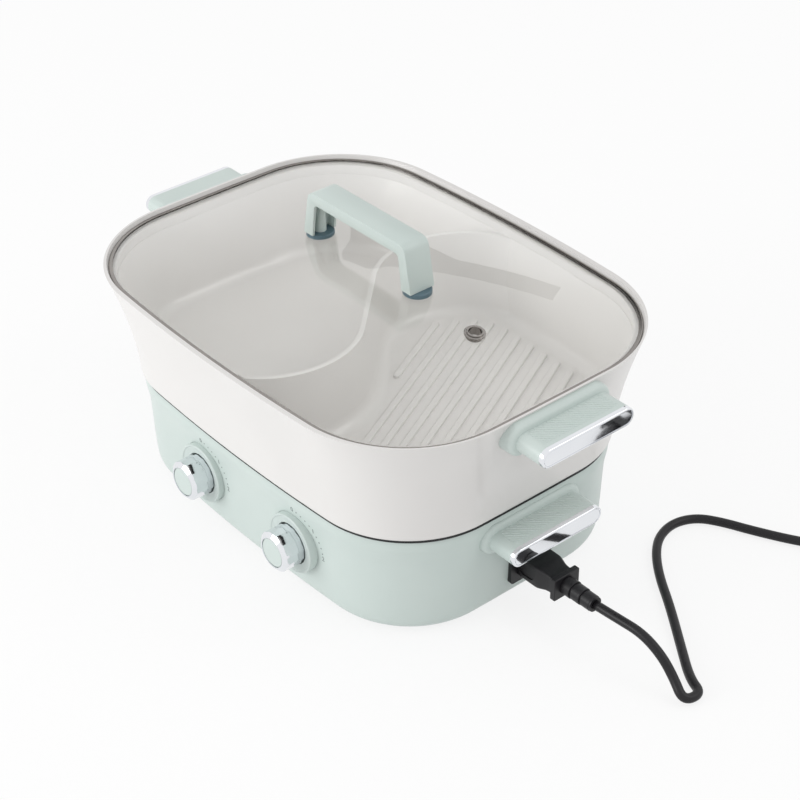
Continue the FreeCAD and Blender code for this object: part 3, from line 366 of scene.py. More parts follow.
# %% [markdown]
# Half of the construction pieces keep their shape and only get a finish. One table says what each
# of them is made of. The other half get a finer form further on, and their finish with it.

# %% Finishes of the construction pieces
FINISHES = {
    mint_abs: ["base_shell", "knob_cap_left", "knob_cap_right"],
    ceramic: ["pot_body"],
    zinc_steel: ["cover_screws", "heat_shield", "plate_posts", "base_handle_screws",
                 "pot_handle_screws", "heating_element_left", "heating_element_right"],
    cast_aluminium: ["heating_plate_left", "heating_plate_right"],
    nickel_brass: ["inlet_pins", "plug_pins"],
    polyamide: ["bottom_cover", "knob_shaft_left", "knob_shaft_right", "thermostat_left",
                "thermostat_right", "inlet_socket", "plug_body"],
    silicone: ["rubber_feet", "coil_tie"],
}


def finish(piece, material):
    """Makes a material the only one of a piece."""
    piece.data.materials.clear()
    piece.data.materials.append(material)


for material, names in FINISHES.items():
    for name in names:
        finish(nodes[name], material)
finish(cord, cord_pvc)
print("construction pieces with a finish:", sum(len(names) for names in FINISHES.values()))

# %% [markdown]
# The construction model gives some pieces in plain form: the lid, the grips, the knobs and the
# mains connector. Their fine forms are made here. Most of them are stacks: one outline follows
# another, and a skin joins them. Round pieces are turned like wood on a lathe, and hollows are cut
# out with a solid of the hollow's shape. All sizes are in millimetres.

# %% Stacks and turned solids
def stack(rings, closed=False):
    """A solid skin through outlines with equally many points. Its ends are capped, or joined to
    each other where it is closed like a tyre."""
    count = len(rings[0])
    steps = len(rings) if closed else len(rings) - 1
    faces = []
    for k in range(steps):
        here, there = k * count, (k + 1) % len(rings) * count
        for i in range(count):
            j = (i + 1) % count
            faces.append((here + i, here + j, there + j, there + i))
    if not closed:
        last = (len(rings) - 1) * count
        faces += [tuple(range(count - 1, -1, -1)), tuple(range(last, last + count))]
    mesh = bpy.data.meshes.new("solid")
    mesh.from_pydata([Vector(p) * MM for ring in rings for p in ring], [], faces)
    return turn_outwards(mesh)


def turned(profile, foot, axis=(0, 0, 1), sides=64, closed=False):
    """A round solid from (radius, distance along the axis) points, on an axis through its foot."""
    axis, foot = Vector(axis).normalized(), Vector(foot)
    first = axis.orthogonal().normalized()
    second = axis.cross(first)
    angles = [2 * math.pi * i / sides for i in range(sides)]
    return stack([[foot + axis * along + (first * math.cos(a) + second * math.sin(a)) * radius
                   for a in angles] for radius, along in profile], closed)


def box(low, high):
    """A box between two corners."""
    (x0, y0, z0), (x1, y1, z1) = low, high
    return stack([[(x0, y0, z), (x1, y0, z), (x1, y1, z), (x0, y1, z)] for z in (z0, z1)])


# %% Cuts, rounded edges and finished pieces
OVERLAP = 1.0     # how far a cutter, or a solid that is joined on, reaches past a face


def carved(mesh, tools, operation="DIFFERENCE"):
    """A solid after tools are cut from it or joined to it, or what it and a tool have in common."""
    solid = placed("solid", mesh)
    helpers = [placed("tool", tool) for tool in tools]
    for helper in helpers:
        modifier = solid.modifiers.new("cut", "BOOLEAN")
        modifier.operation, modifier.object, modifier.solver = operation, helper, "EXACT"
    result = as_mesh(solid)
    for item in [solid] + helpers:
        bpy.data.objects.remove(item)
    return result


def bevelled(mesh, width, corner_degrees, segments=2):
    """A solid with its sharp edges rounded a little, as a mould leaves them."""
    solid = placed("solid", mesh)
    modifier = solid.modifiers.new("edge", "BEVEL")
    modifier.width, modifier.segments = width * MM, segments
    modifier.limit_method, modifier.angle_limit = "ANGLE", math.radians(corner_degrees)
    result = as_mesh(solid)
    bpy.data.objects.remove(solid)
    return result


def formed(name, mesh, material, body, slot, *replaced, corner_degrees=30):
    """A finished piece that stands for construction nodes and moves with their body."""
    piece = new_piece(name, mesh)
    mesh.shade_smooth()
    mesh.set_sharp_from_angle(angle=math.radians(corner_degrees))
    finish(piece, material)
    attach(piece, body)
    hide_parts(*replaced)
    print(name, "faces", len(mesh.polygons), "z", round(max(v.co.z for v in mesh.vertices) / MM, 1))
    return piece


def mirrored(rings):
    """The same outlines on the left-hand side."""
    return [[(-x, y, z) for x, y, z in ring] for ring in rings]


# %% [markdown]
# A grip is a flat bar with round ends that grows out of a wider flange, and the flange's front edge
# rolls over into the bar. The root of the flange must follow the bowed wall. So a ray goes from
# outside to the wall for every point of the first outline, and the outline starts a little inside
# what the ray meets.

# %% Carrying grips
GRIP_HALF_WIDTH, GRIP_HALF_HEIGHT = 45.6, 7.9
FLANGE_SPREAD, FLANGE_RISE, FLANGE_ROLL = 4.6, 5.3, 4.6
GRIPS = {"pot": (181.9, 213.0, "pot_body"), "base": (77.0, 188.0, "base_shell")}
END_STEPS, FLAT_STEPS, ROLL_STEPS = 20, 12, 10
ROOT_DEPTH = 1.0
OUTSIDE = 1.0     # metres from the middle, outside everything: where rays start


def slot_outline(half_width, half_height, middle):
    """A slot square to X, as (y, z) points: two flats and two round ends."""
    flat = half_width - half_height
    points = []
    for side in (1, -1):
        for i in range(END_STEPS):
            a = math.pi * (i / END_STEPS - 0.5)
            points.append((side * (flat + half_height * math.cos(a)),
                           middle + side * half_height * math.sin(a)))
        points += [(side * flat * (1 - 2 * i / FLAT_STEPS), middle + side * half_height)
                   for i in range(FLAT_STEPS)]
    return points


def wall_tree(name):
    """The faces of a node, ready to be hit by rays."""
    mesh = nodes[name].data
    return BVHTree.FromPolygons([v.co for v in mesh.vertices], [p.vertices for p in mesh.polygons])


def grip_rings(part):
    """Outlines of a right-hand grip: in the wall, round the flange, over its roll, and at the end."""
    middle, face, wall = GRIPS[part]
    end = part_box(f"{part}_grip_right")[1][0] / MM
    spread, rise = GRIP_HALF_WIDTH + FLANGE_SPREAD, GRIP_HALF_HEIGHT + FLANGE_RISE
    flange = slot_outline(spread, rise, middle)
    tree = wall_tree(wall)
    root = []
    for y, z in flange:
        hit = tree.ray_cast(Vector((OUTSIDE, y * MM, z * MM)), Vector((-1, 0, 0)))[0]
        root.append((hit.x / MM - ROOT_DEPTH, y, z))
    rings = [root, [(face, y, z) for y, z in flange]]
    for i in range(1, ROLL_STEPS + 1):
        left = math.sqrt(1 - (i / ROLL_STEPS) ** 2)
        roll = slot_outline(GRIP_HALF_WIDTH + FLANGE_SPREAD * left, GRIP_HALF_HEIGHT + FLANGE_RISE * left,
                            middle)
        rings.append([(face + FLANGE_ROLL * i / ROLL_STEPS, y, z) for y, z in roll])
    rings.append([(end, y, z) for y, z in slot_outline(GRIP_HALF_WIDTH, GRIP_HALF_HEIGHT, middle)])
    return rings


for part in GRIPS:
    rings = grip_rings(part)
    for side, form in (("right", rings), ("left", mirrored(rings))):
        formed(f"{part}_{side}_grip", stack(form), mint_abs, part, "mint_plastic", f"{part}_grip_{side}")

# %% [markdown]
# Each grip ends in a plated plastic cap, clipped on. Plating rounds every edge a little. A fine
# groove runs round its face, and the field inside the groove lies slightly deeper than the border.

# %% Chrome caps
CAP_FACE = [(1.1, 0.0), (0.55, 0.12), (0.2, 0.45), (0.0, 1.0), (0.0, 1.7), (0.5, 1.85), (0.5, 2.05),
            (0.25, 2.2)]
CAP_SHARP_DEGREES = 35


def cap_rings(part):
    """Outlines from the cap's root to its inset face, each as far back and inside as the table says."""
    low, high = (Vector(corner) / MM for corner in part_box(f"{part}_trim_right"))
    half_width, half_height = (high.y - low.y) / 2, (high.z - low.z) / 2
    steps = [(high.x - low.x, 0.0)] + CAP_FACE
    return [[(high.x - back, y, z) for y, z in slot_outline(half_width - inside, half_height - inside,
                                                            (low.z + high.z) / 2)]
            for back, inside in steps]


for part in GRIPS:
    rings = cap_rings(part)
    for side, form in (("right", rings), ("left", mirrored(rings))):
        formed(f"{part}_{side}_cap", stack(form), chrome, part, "chrome", f"{part}_trim_{side}",
               corner_degrees=CAP_SHARP_DEGREES)

# %% [markdown]
# The lid's outline is bowed sides and ends joined by round corners, all arcs that meet smoothly. A
# point on it is found from the centres of those arcs, so one function gives the outline at any size.
# The glass follows it inwards to a dome that is steep at the edge and nearly flat on top.

# %% The lid's outline
SIDE_BOW, END_BOW = 1740.0, 5000.0
LID = (206.8, 154.8, 95.1)
ARC_STEPS = (5, 22, 9)


def quarter(length, width, corner):
    """A quarter of a bowed outline: half an end arc, a round corner and half a side arc."""
    side_y, end_x = width - SIDE_BOW, length - END_BOW
    ra, rb = SIDE_BOW - corner, END_BOW - corner
    gap = math.hypot(end_x, side_y)
    along = (ra * ra - rb * rb + gap * gap) / (2 * gap)
    across = math.sqrt(ra * ra - along * along)
    ux, uy = end_x / gap, -side_y / gap
    cx, cy = max((along * ux - across * uy * k, side_y + along * uy + across * ux * k) for k in (1, -1))
    leaving, arriving = math.atan2(cy, cx - end_x), math.atan2(cy - side_y, cx)
    arcs = ((end_x, 0.0, END_BOW, 0.0, leaving), (cx, cy, corner, leaving, arriving),
            (0.0, side_y, SIDE_BOW, arriving, math.pi / 2))
    points = []
    for (x, y, radius, start, stop), steps in zip(arcs, ARC_STEPS):
        angles = [start + (stop - start) * i / steps for i in range(steps)]
        points += [(x + radius * math.cos(a), y + radius * math.sin(a)) for a in angles]
    return points + [(0.0, width)]


def outline(sizes, height, grow=0.0):
    """A closed level outline from its half length, half width and corner radius."""
    corner = quarter(*(size + grow for size in sizes))
    ring = []
    for sx, sy in ((1, 1), (-1, 1), (-1, -1), (1, -1)):
        points = corner if sx * sy > 0 else corner[::-1]
        ring += [(x * sx, y * sy, height) for x, y in points[:-1]]
    return ring


def lid_outline(height, grow=0.0):
    """The lid's outline at one height, grown or shrunk by some millimetres."""
    return outline(LID, height, grow)


print("lid outline", len(lid_outline(0.0)), "points")

# %% [markdown]
# The glass is one sheet of even thickness. Its flat edge is held in a steel channel that is rolled
# over it, and inside the edge it rises to the dome. Three holes are drilled before the glass is
# tempered, because tempered glass shatters when it is cut: two for the handle's screws, and one for
# the steam eyelet, which leans as the dome does at its place.

# %% Glass and its steel rim
GLASS_BOTTOM, GLASS_EDGE, GLASS_THICK, GLASS_FLAT = 190.6, 3.2, 3.1, 5.0
DOME_TOP, DOME_POWER, DOME_RINGS = 219.0, 2.4, 26
RIM_LOW, RIM_HIGH, RIM_BAND, RIM_LEAN, RIM_WALL, RIM_ROUND = 190.0, 194.3, 3.5, 0.8, 0.8, 1.4
RIM_STEPS = 6
FOOT_X, VENT_X, VENT_LEAN = 59.0, 123.0, math.radians(8.5)
SCREW_RADIUS, VENT_BARREL, VENT_BORE, BORE_GAP = 2.5, 6.3, 12.0, 0.1
VENT_AXIS = (math.sin(VENT_LEAN), 0.0, math.cos(VENT_LEAN))
VENT_FOOT = (VENT_X, 0.0, 206.0)


def dome(edge):
    """Outlines from the flat edge up to the middle of the dome."""
    foot = lid_outline(edge, -GLASS_FLAT)
    rise = DOME_TOP - GLASS_BOTTOM - GLASS_EDGE
    shares = [math.cos(math.pi / 2 * i / DOME_RINGS) for i in range(DOME_RINGS)]
    return [[(x * share, y * share, edge + rise * (1 - share ** DOME_POWER)) for x, y, z in foot]
            for share in shares]


def lid_glass():
    """The domed sheet with its three holes."""
    top = GLASS_BOTTOM + GLASS_EDGE
    edge = [lid_outline(z, -RIM_LEAN - RIM_WALL) for z in (GLASS_BOTTOM, top)]
    sheet = stack(dome(top - GLASS_THICK)[::-1] + edge + dome(top))
    screw, vent = SCREW_RADIUS + BORE_GAP, VENT_BARREL + BORE_GAP
    bores = [turned([(screw, GLASS_BOTTOM), (screw, DOME_TOP + OVERLAP)], (FOOT_X * k, 0, 0))
             for k in (-1, 1)]
    return carved(sheet, bores + [turned([(vent, 0), (vent, VENT_BORE)], VENT_FOOT, VENT_AXIS)])


def lid_rim():
    """A steel channel, rolled over the edge of the glass."""
    groove = -RIM_LEAN - RIM_WALL
    section = [(-RIM_BAND, RIM_LOW), (-RIM_LEAN, RIM_LOW)]
    for i in range(RIM_STEPS + 1):
        a = math.pi / 2 * i / RIM_STEPS
        section.append((RIM_ROUND * (math.cos(a) - 1), RIM_HIGH - RIM_ROUND * (1 - math.sin(a))))
    section += [(-RIM_BAND, RIM_HIGH), (-RIM_BAND, GLASS_BOTTOM + GLASS_EDGE),
                (groove, GLASS_BOTTOM + GLASS_EDGE), (groove, GLASS_BOTTOM), (-RIM_BAND, GLASS_BOTTOM)]
    return stack([lid_outline(height, grow) for grow, height in section], closed=True)


formed("glass_sheet", lid_glass(), glass, "lid", "glass", "lid_glass")
formed("glass_rim", lid_rim(), rim_steel, "lid", "steel", "lid_ring")

# %% [markdown]
# The pot sits on a black silicone ring, which keeps spills out of the base. The ring stands out far
# enough to show as the dark line between pot and base, so its black is partly painted shade: it
# also stands in for the shade in the seam.

# %% Seat ring and painted seam shade
SEAT = (187.5, 134.0, 81.5)
# RING_OUT pushes the black ring past the wall, so it is the ring and also a painted line of seam shade.
RING_LOW, RING_HIGH, RING_OUT, RING_IN = 95.02, 97.1, 2.0, -7.5
ring_section = [(RING_IN, RING_LOW), (RING_OUT, RING_LOW), (RING_OUT, RING_HIGH), (RING_IN, RING_HIGH)]
seat_ring_and_seam_shade = stack([outline(SEAT, height, grow) for grow, height in ring_section], closed=True)
formed("seat_ring_and_seam_shade", seat_ring_and_seam_shade, silicone, "base", "rubber", "seat_gasket")

# %% [markdown]
# The bar stands on two legs that lean inwards. Each leg is hollow on its inner side, with a
# tapering column for the screw inside, as moulded handles are to keep the walls even. It sits on a
# soft washer, which spreads the screw's pull over the glass.

# %% The bar handle
FOOT_Z, BAR_TOP, BAR_THICK, BAR_HALF = 220.8, 260.0, 9.6, 12.0
LEG_INNER, LEG_OUTER, BAR_INNER, BAR_END = 54.0, 65.1, 50.4, 57.7
LEG_SKIN, LEG_WALL, COLUMN_FOOT, COLUMN_TOP = 3.4, 2.2, 5.0, 2.2
COLUMN_SIDES = 32
BAR_OUTER_ROUND, BAR_INNER_ROUND, BAR_EDGE, BAR_SHARP_DEGREES = 8.0, 4.0, 0.5, 50


def rounded_corners(corners, steps=6):
    """A flat outline whose corners, each with its radius, are arcs."""
    points = []
    for i, (x, z, radius) in enumerate(corners):
        here = Vector((x, z))
        before = (Vector(corners[i - 1][:2]) - here).normalized()
        after = (Vector(corners[(i + 1) % len(corners)][:2]) - here).normalized()
        if not radius:
            points.append(here)
            continue
        half = before.angle(after) / 2
        centre = here + (before + after).normalized() * radius / math.sin(half)
        first = (here + before * radius / math.tan(half) - centre).normalized()
        last = (here + after * radius / math.tan(half) - centre).normalized()
        points += [centre + first.slerp(last, k / steps) * radius for k in range(steps + 1)]
    return points


def bar_handle():
    """The bar and its legs from one arch, with a hollow and a screw column in each leg."""
    under = BAR_TOP - BAR_THICK
    arch = rounded_corners([
        (-LEG_OUTER, FOOT_Z, 0), (-LEG_INNER, FOOT_Z, 0), (-BAR_INNER, under, BAR_INNER_ROUND),
        (BAR_INNER, under, BAR_INNER_ROUND), (LEG_INNER, FOOT_Z, 0), (LEG_OUTER, FOOT_Z, 0),
        (BAR_END, BAR_TOP, BAR_OUTER_ROUND), (-BAR_END, BAR_TOP, BAR_OUTER_ROUND)])
    block = stack([[(x, y, z) for x, z in arch] for y in (-BAR_HALF, BAR_HALF)])
    solid = bevelled(block, BAR_EDGE, BAR_SHARP_DEGREES)
    top = under - LEG_WALL
    lean = (LEG_OUTER - BAR_END) * (top - FOOT_Z) / (BAR_TOP - FOOT_Z)
    reach = BAR_HALF - LEG_WALL
    low = FOOT_Z - OVERLAP
    side = [(0, low), (LEG_OUTER - LEG_SKIN, low), (LEG_OUTER - lean - LEG_SKIN, top), (0, top)]
    hollows, columns = [], []
    for k in (-1, 1):
        hollows.append(stack([[(x * k, y, z) for x, z in side] for y in (-reach, reach)]))
        foot, head = Vector((FOOT_X * k, 0, FOOT_Z)), Vector(((FOOT_X - LEG_SKIN) * k, 0, top + OVERLAP))
        columns.append(turned([(COLUMN_FOOT, 0), (COLUMN_TOP, (head - foot).length)], foot, head - foot,
                              COLUMN_SIDES))
    return carved(carved(solid, hollows), columns, "UNION")


formed("bar_handle", bar_handle(), mint_abs, "lid", "mint_plastic", "lid_handle")

# %% [markdown]
# Washers, screws and eyelet are round, so each is one profile turned about its axis. A profile is a
# list of corners, each with its radius and its distance along the axis.

# %% Washers, screws and eyelet
WASHER = [(11.5, 0), (11.5, 3.2), (10.8, 3.9)]
SCREW = [(4.7, 0), (5.5, 0.8), (5.5, 2.3), (2.5, 2.3), (2.5, 14.0)]
SCREW_FOOT = 212.2
EYELET = [(5.0, 0), (6.3, 0), (6.3, 4.8), (8.3, 4.8), (8.3, 6.2), (7.8, 6.7), (6.7, 6.7), (6.7, 7.4),
          (6.2, 7.9), (5.5, 7.9), (5.0, 7.4)]


def pair_of(profile, foot_z):
    """Two equal turned solids, one under each leg."""
    both = bmesh.new()
    for k in (-1, 1):
        both.from_mesh(turned(profile, (FOOT_X * k, 0, foot_z)))
    mesh = bpy.data.meshes.new("pair")
    both.to_mesh(mesh)
    both.free()
    return mesh


formed("bar_washers", pair_of(WASHER, FOOT_Z - WASHER[-1][1]), slate_silicone, "lid", "steel",
       "handle_washers")
formed("bar_screws", pair_of(SCREW, SCREW_FOOT), rim_steel, "lid", "steel", "lid_screws")
formed("steam_eyelet", turned(EYELET, VENT_FOOT, VENT_AXIS, closed=True), rim_steel, "lid", "steel",
       "vent_eyelet")

# %% [markdown]
# A knob is turned from a round blank and then given twelve flats, so that wet fingers can hold it.
# The blank is cut by a twelve-sided prism, as the flats are on a real one, and a narrow round edge is
# left between them. The ring round the knob has a rounded lip and a face that falls a little inwards.

# %% Knobs and the rings round them
KNOB_FLATS, KNOB_CORNER, KNOB_SHARP_DEGREES, BLANK_SIDES = 12, 17.15, 8, 96
KNOB = [(16.1, 4.6), (16.9, 5.4), (16.9, 21.9), (16.5, 22.25), (13.8, 24.4), (12.5, 24.4), (12.5, 22.9)]
DIAL_RING = [(17.7, 0.0), (25.5, 0.0), (25.5, 6.3), (25.2, 7.0), (24.6, 7.4), (23.9, 7.3), (23.3, 6.8),
             (17.7, 5.9)]
SEAT_Y = -130.0
FORWARD = (0, -1, 0)


def faceted_knob(seat):
    """What a round blank and a twelve-sided prism have in common."""
    blank = turned(KNOB, seat, FORWARD, BLANK_SIDES)
    front = max(along for radius, along in KNOB) + OVERLAP
    prism = turned([(KNOB_CORNER, 0), (KNOB_CORNER, front)], seat, FORWARD, KNOB_FLATS)
    return carved(blank, [prism], "INTERSECT")


for side in ("left", "right"):
    low, high = (Vector(corner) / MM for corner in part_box(f"dial_bezel_{side}"))
    seat = ((low.x + high.x) / 2, SEAT_Y, (low.z + high.z) / 2)
    formed(f"faceted_knob_{side}", faceted_knob(seat), chrome, f"knob_{side}", "chrome", f"knob_{side}",
           corner_degrees=KNOB_SHARP_DEGREES)
    formed(f"dial_ring_{side}", turned(DIAL_RING, seat, FORWARD, BLANK_SIDES, closed=True), mint_abs, "base",
           "mint_plastic", f"dial_bezel_{side}")

# %% [markdown]
# The appliance connector is moulded round its contacts: a nose that fits the inlet, a rounded block
# with a thumb hollow on each side, a waist to pull by, and a square collar. Its outline is a
# rectangle with round corners that swells and shrinks along the way. The sleeve behind it has rings
# with grooves between them, which let it bend with the cord.

# %% Connector and its sleeve
INLET_Y, INLET_Z = 1.5, 36.0
BLOCK_HALF_WIDTH, BLOCK_HALF_HEIGHT, BLOCK_ROUND = 13.0, 10.0, 3.0
SHOULDER_GAP, SHOULDER_ROUND, SHOULDER_SHARE, COLLAR_EDGE = 0.5, 0.8, 0.96, 0.5
SWELL_END, COLLAR_START, COLLAR_END, SLEEVE_END = 207.0, 224.5, 229.0, 259.0
WAIST = [(0.0, 1.0), (0.12, 0.99), (0.25, 0.95), (0.4, 0.89), (0.55, 0.83), (0.7, 0.8), (0.85, 0.79),
         (1.0, 0.81)]
NOSE_START, NOSE_HALF_WIDTH, NOSE_HALF_HEIGHT, NOSE_ROUND = 171.45, 12.15, 8.35, 1.0
CONTACTS = ((-7.0, -1.5), (7.0, -1.5), (0.0, 2.0))
CONTACT_HALF, CONTACT_DEPTH = (1.3, 2.3), 16.0
THUMB_X, THUMB_HALF, THUMB_RADIUS, THUMB_DEPTH = 198.5, 8.0, 4.6, 0.8


def block_outline(x, half_width, half_height, radius):
    """A rectangle with round corners, square to the lead."""
    corners = [(sy * half_width, sz * half_height, radius) for sy, sz in ((1, 1), (-1, 1), (-1, -1), (1, -1))]
    return [(x, INLET_Y + p.x, INLET_Z + p.y) for p in rounded_corners(corners)]


def connector():
    """Nose, block with its waist, and collar in one, with thumb hollows and holes for the pins."""
    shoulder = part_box("inlet_socket")[1][0] / MM + SHOULDER_GAP

    def outline_at(x, share):
        return block_outline(x, *(v * share for v in (BLOCK_HALF_WIDTH, BLOCK_HALF_HEIGHT, BLOCK_ROUND)))

    waist = COLLAR_START - SWELL_END
    block = stack([outline_at(shoulder, SHOULDER_SHARE), outline_at(shoulder + SHOULDER_ROUND, 1.0)]
                  + [outline_at(SWELL_END + waist * along, share) for along, share in WAIST])
    collar = stack([block_outline(x, BLOCK_HALF_WIDTH - inset, BLOCK_HALF_HEIGHT - inset, BLOCK_ROUND / 2)
                    for x, inset in ((COLLAR_START - COLLAR_EDGE, COLLAR_EDGE), (COLLAR_START, 0),
                                     (COLLAR_END - COLLAR_EDGE, 0), (COLLAR_END, COLLAR_EDGE))])
    nose = stack([block_outline(x, NOSE_HALF_WIDTH, NOSE_HALF_HEIGHT, NOSE_ROUND)
                  for x in (NOSE_START, shoulder + OVERLAP)])
    thumbs = []
    for k in (-1, 1):
        face = INLET_Y + BLOCK_HALF_WIDTH * k
        slot = slot_outline(THUMB_HALF, THUMB_RADIUS, 0.0)
        thumbs.append(stack([[(THUMB_X + x, y, INLET_Z + z) for x, z in slot]
                             for y in (face - THUMB_DEPTH * k, face + THUMB_DEPTH * k)]))
    half_y, half_z = CONTACT_HALF
    holes = [box((NOSE_START - OVERLAP, INLET_Y + y - half_y, INLET_Z + z - half_z),
                 (NOSE_START + CONTACT_DEPTH, INLET_Y + y + half_y, INLET_Z + z + half_z))
             for y, z in CONTACTS]
    return carved(carved(carved(block, thumbs), [collar, nose], "UNION"), holes)


def sleeve(rings=3, radius=7.5, taper=0.45, groove=1.4, edge=0.4, sides=48):
    """A row of rings, each a little thinner than the one before, with a groove behind each."""
    pitch = (SLEEVE_END - COLLAR_END) / rings
    profile = []
    for i in range(rings):
        outer, start, stop = radius - taper * i, pitch * i, pitch * (i + 1)
        profile += [(outer - edge, start), (outer, start + edge), (outer, stop - groove - edge),
                    (outer - edge, stop - groove), (outer - groove, stop - groove), (outer - groove, stop)]
    return turned(profile[:-2] + [(profile[-3][0], SLEEVE_END - COLLAR_END)], (COLLAR_END, INLET_Y, INLET_Z),
                  (1, 0, 0), sides)


connector_piece = formed("mains_connector", connector(), polyamide, "lead", "dark_plastic", "connector_body")
sleeve_piece = formed("bend_sleeve", sleeve(), polyamide, "lead", "rubber", "strain_relief")

# %% [markdown]
# The right-hand grips have a field of fine raised ribs on top, so that a wet hand doesn't slip.
# They slant across a rectangle, so a rib near a corner is cut short. Geometry Nodes work out the
# place and the length of each rib as fields. One point stands for each rib, a half-round bar of unit
# length is set on every point and stretched, and the bars are made real at the end. The sums are a
# table, and one loop adds a node for each row.

# %% The tree of slanting ribs
RIB_SIZES = ("Near", "Far", "Half Span", "Height", "Angle", "Pitch", "Rib Width", "Rib Height")
RIB_ARC_POINTS = 9
RIB_SUMS = (      # each row is a name, an operation and the two values that it works on
    ("slope", "TANGENT", "Angle", 0.0),
    ("depth", "SUBTRACT", "Far", "Near"),
    ("shift", "MULTIPLY", "depth", "slope"),    # how far a whole rib runs along the grip
    ("width", "MULTIPLY", "Half Span", 2.0),
    ("span", "ADD", "width", "shift"),
    ("share", "DIVIDE", "span", "Pitch"),
    ("count", "FLOOR", "share", 0.0),
    ("step", "ADD", "index", 0.5),
    ("along", "MULTIPLY", "step", "Pitch"),
    ("reach", "ADD", "Half Span", "shift"),
    ("start", "SUBTRACT", "along", "reach"),    # where a rib would start, at the near edge
    ("low side", "MULTIPLY", "Half Span", -1.0),
    ("to low", "SUBTRACT", "low side", "start"),
    ("low run", "DIVIDE", "to low", "slope"),
    ("low end", "ADD", "Near", "low run"),
    ("first", "MAXIMUM", "Near", "low end"),    # its first point inside the field
    ("to high", "SUBTRACT", "Half Span", "start"),
    ("high run", "DIVIDE", "to high", "slope"),
    ("high end", "ADD", "Near", "high run"),
    ("last", "MINIMUM", "Far", "high end"),    # its last point inside the field
    ("both", "ADD", "first", "last"),
    ("middle", "MULTIPLY", "both", 0.5),
    ("inward", "SUBTRACT", "middle", "Near"),
    ("rise", "MULTIPLY", "inward", "slope"),
    ("place", "ADD", "start", "rise"),    # where its middle lies along the grip
    ("run", "SUBTRACT", "last", "first"),
    ("cosine", "COSINE", "Angle", 0.0),
    ("length", "DIVIDE", "run", "cosine"),
    ("shortest", "MULTIPLY", "Rib Width", 2.0),
    ("kept", "GREATER_THAN", "length", "shortest"),    # a stub at a corner is left out
    ("half width", "MULTIPLY", "Rib Width", 0.5))
RIB_VECTORS = {"Position": ("middle", "place", "Height"), "Rotation": (0.0, 0.0, "Angle"),
               "Scale": ("length", 1.0, 1.0), "Section": ("half width", "Rib Height", 1.0)}


def rib_tree():
    """A tree that fills a rectangle with slanting ribs, cut off at its edges."""
    tree = bpy.data.node_groups.new("diagonal_ribs", "GeometryNodeTree")
    tree.interface.new_socket("Geometry", in_out="OUTPUT", socket_type="NodeSocketGeometry")
    for name in RIB_SIZES:
        tree.interface.new_socket(name, in_out="INPUT", socket_type="NodeSocketFloat")
    tree.interface.new_socket("Finish", in_out="INPUT", socket_type="NodeSocketMaterial")
    given = add(tree, "NodeGroupInput").outputs
    known = {name: given[name] for name in RIB_SIZES}
    known["index"] = add(tree, "GeometryNodeInputIndex").outputs[0]
    for name, operation, first, second in RIB_SUMS:
        known[name] = add(tree, "ShaderNodeMath", {"operation": operation}, {
            0: known.get(first, first), 1: known.get(second, second)}).outputs[0]
    for name, parts in RIB_VECTORS.items():
        known[name] = add(tree, "ShaderNodeCombineXYZ", inputs={
            axis: known.get(part, part) for axis, part in zip("XYZ", parts)}).outputs[0]
    points = add(tree, "GeometryNodePoints", inputs={
        "Count": known["count"], "Position": known["Position"]})

    arc = add(tree, "GeometryNodeCurveArc", inputs={
        "Resolution": RIB_ARC_POINTS, "Radius": 1.0, "Start Angle": math.pi, "Sweep Angle": math.pi})
    closed = add(tree, "GeometryNodeSetSplineCyclic", inputs={
        "Geometry": arc.outputs["Curve"], "Cyclic": True})
    profile = add(tree, "GeometryNodeTransform", inputs={
        "Geometry": closed.outputs[0], "Scale": known["Section"]})
    line = add(tree, "GeometryNodeCurvePrimitiveLine", inputs={"Start": (-0.5, 0, 0), "End": (0.5, 0, 0)})
    bar = add(tree, "GeometryNodeCurveToMesh", inputs={
        "Curve": line.outputs["Curve"], "Profile Curve": profile.outputs[0], "Fill Caps": True})
    ribs = add(tree, "GeometryNodeInstanceOnPoints", inputs={
        "Points": points.outputs[0], "Instance": bar.outputs[0], "Selection": known["kept"],
        "Rotation": known["Rotation"], "Scale": known["Scale"]})
    real = add(tree, "GeometryNodeRealizeInstances", inputs={"Geometry": ribs.outputs[0]})
    dressed = add(tree, "GeometryNodeSetMaterial", inputs={
        "Geometry": real.outputs[0], "Material": given["Finish"]})
    add(tree, "NodeGroupOutput", inputs={"Geometry": dressed.outputs[0]})
    return tree


diagonal_ribs = rib_tree()
print("rib tree", len(diagonal_ribs.nodes), "nodes")

# %% [markdown]
# Each grip's field is placed from the grip itself: it starts a little outside the flange, ends a
# little inside the chrome trim, and its ribs stand on the flat top, sunk into it by a hair so that
# no gap shows.

# %% Ribs on the right-hand grips
RIB_ANGLE = math.radians(51.0)
RIB_PITCH, RIB_WIDTH, RIB_HEIGHT = 4.25 * MM, 1.3 * MM, 0.55 * MM
RIB_HALF_SPAN, RIB_INSET, RIB_DEPTH, RIB_SUNK = 36.2 * MM, 4.4 * MM, 17.2 * MM, 0.05 * MM


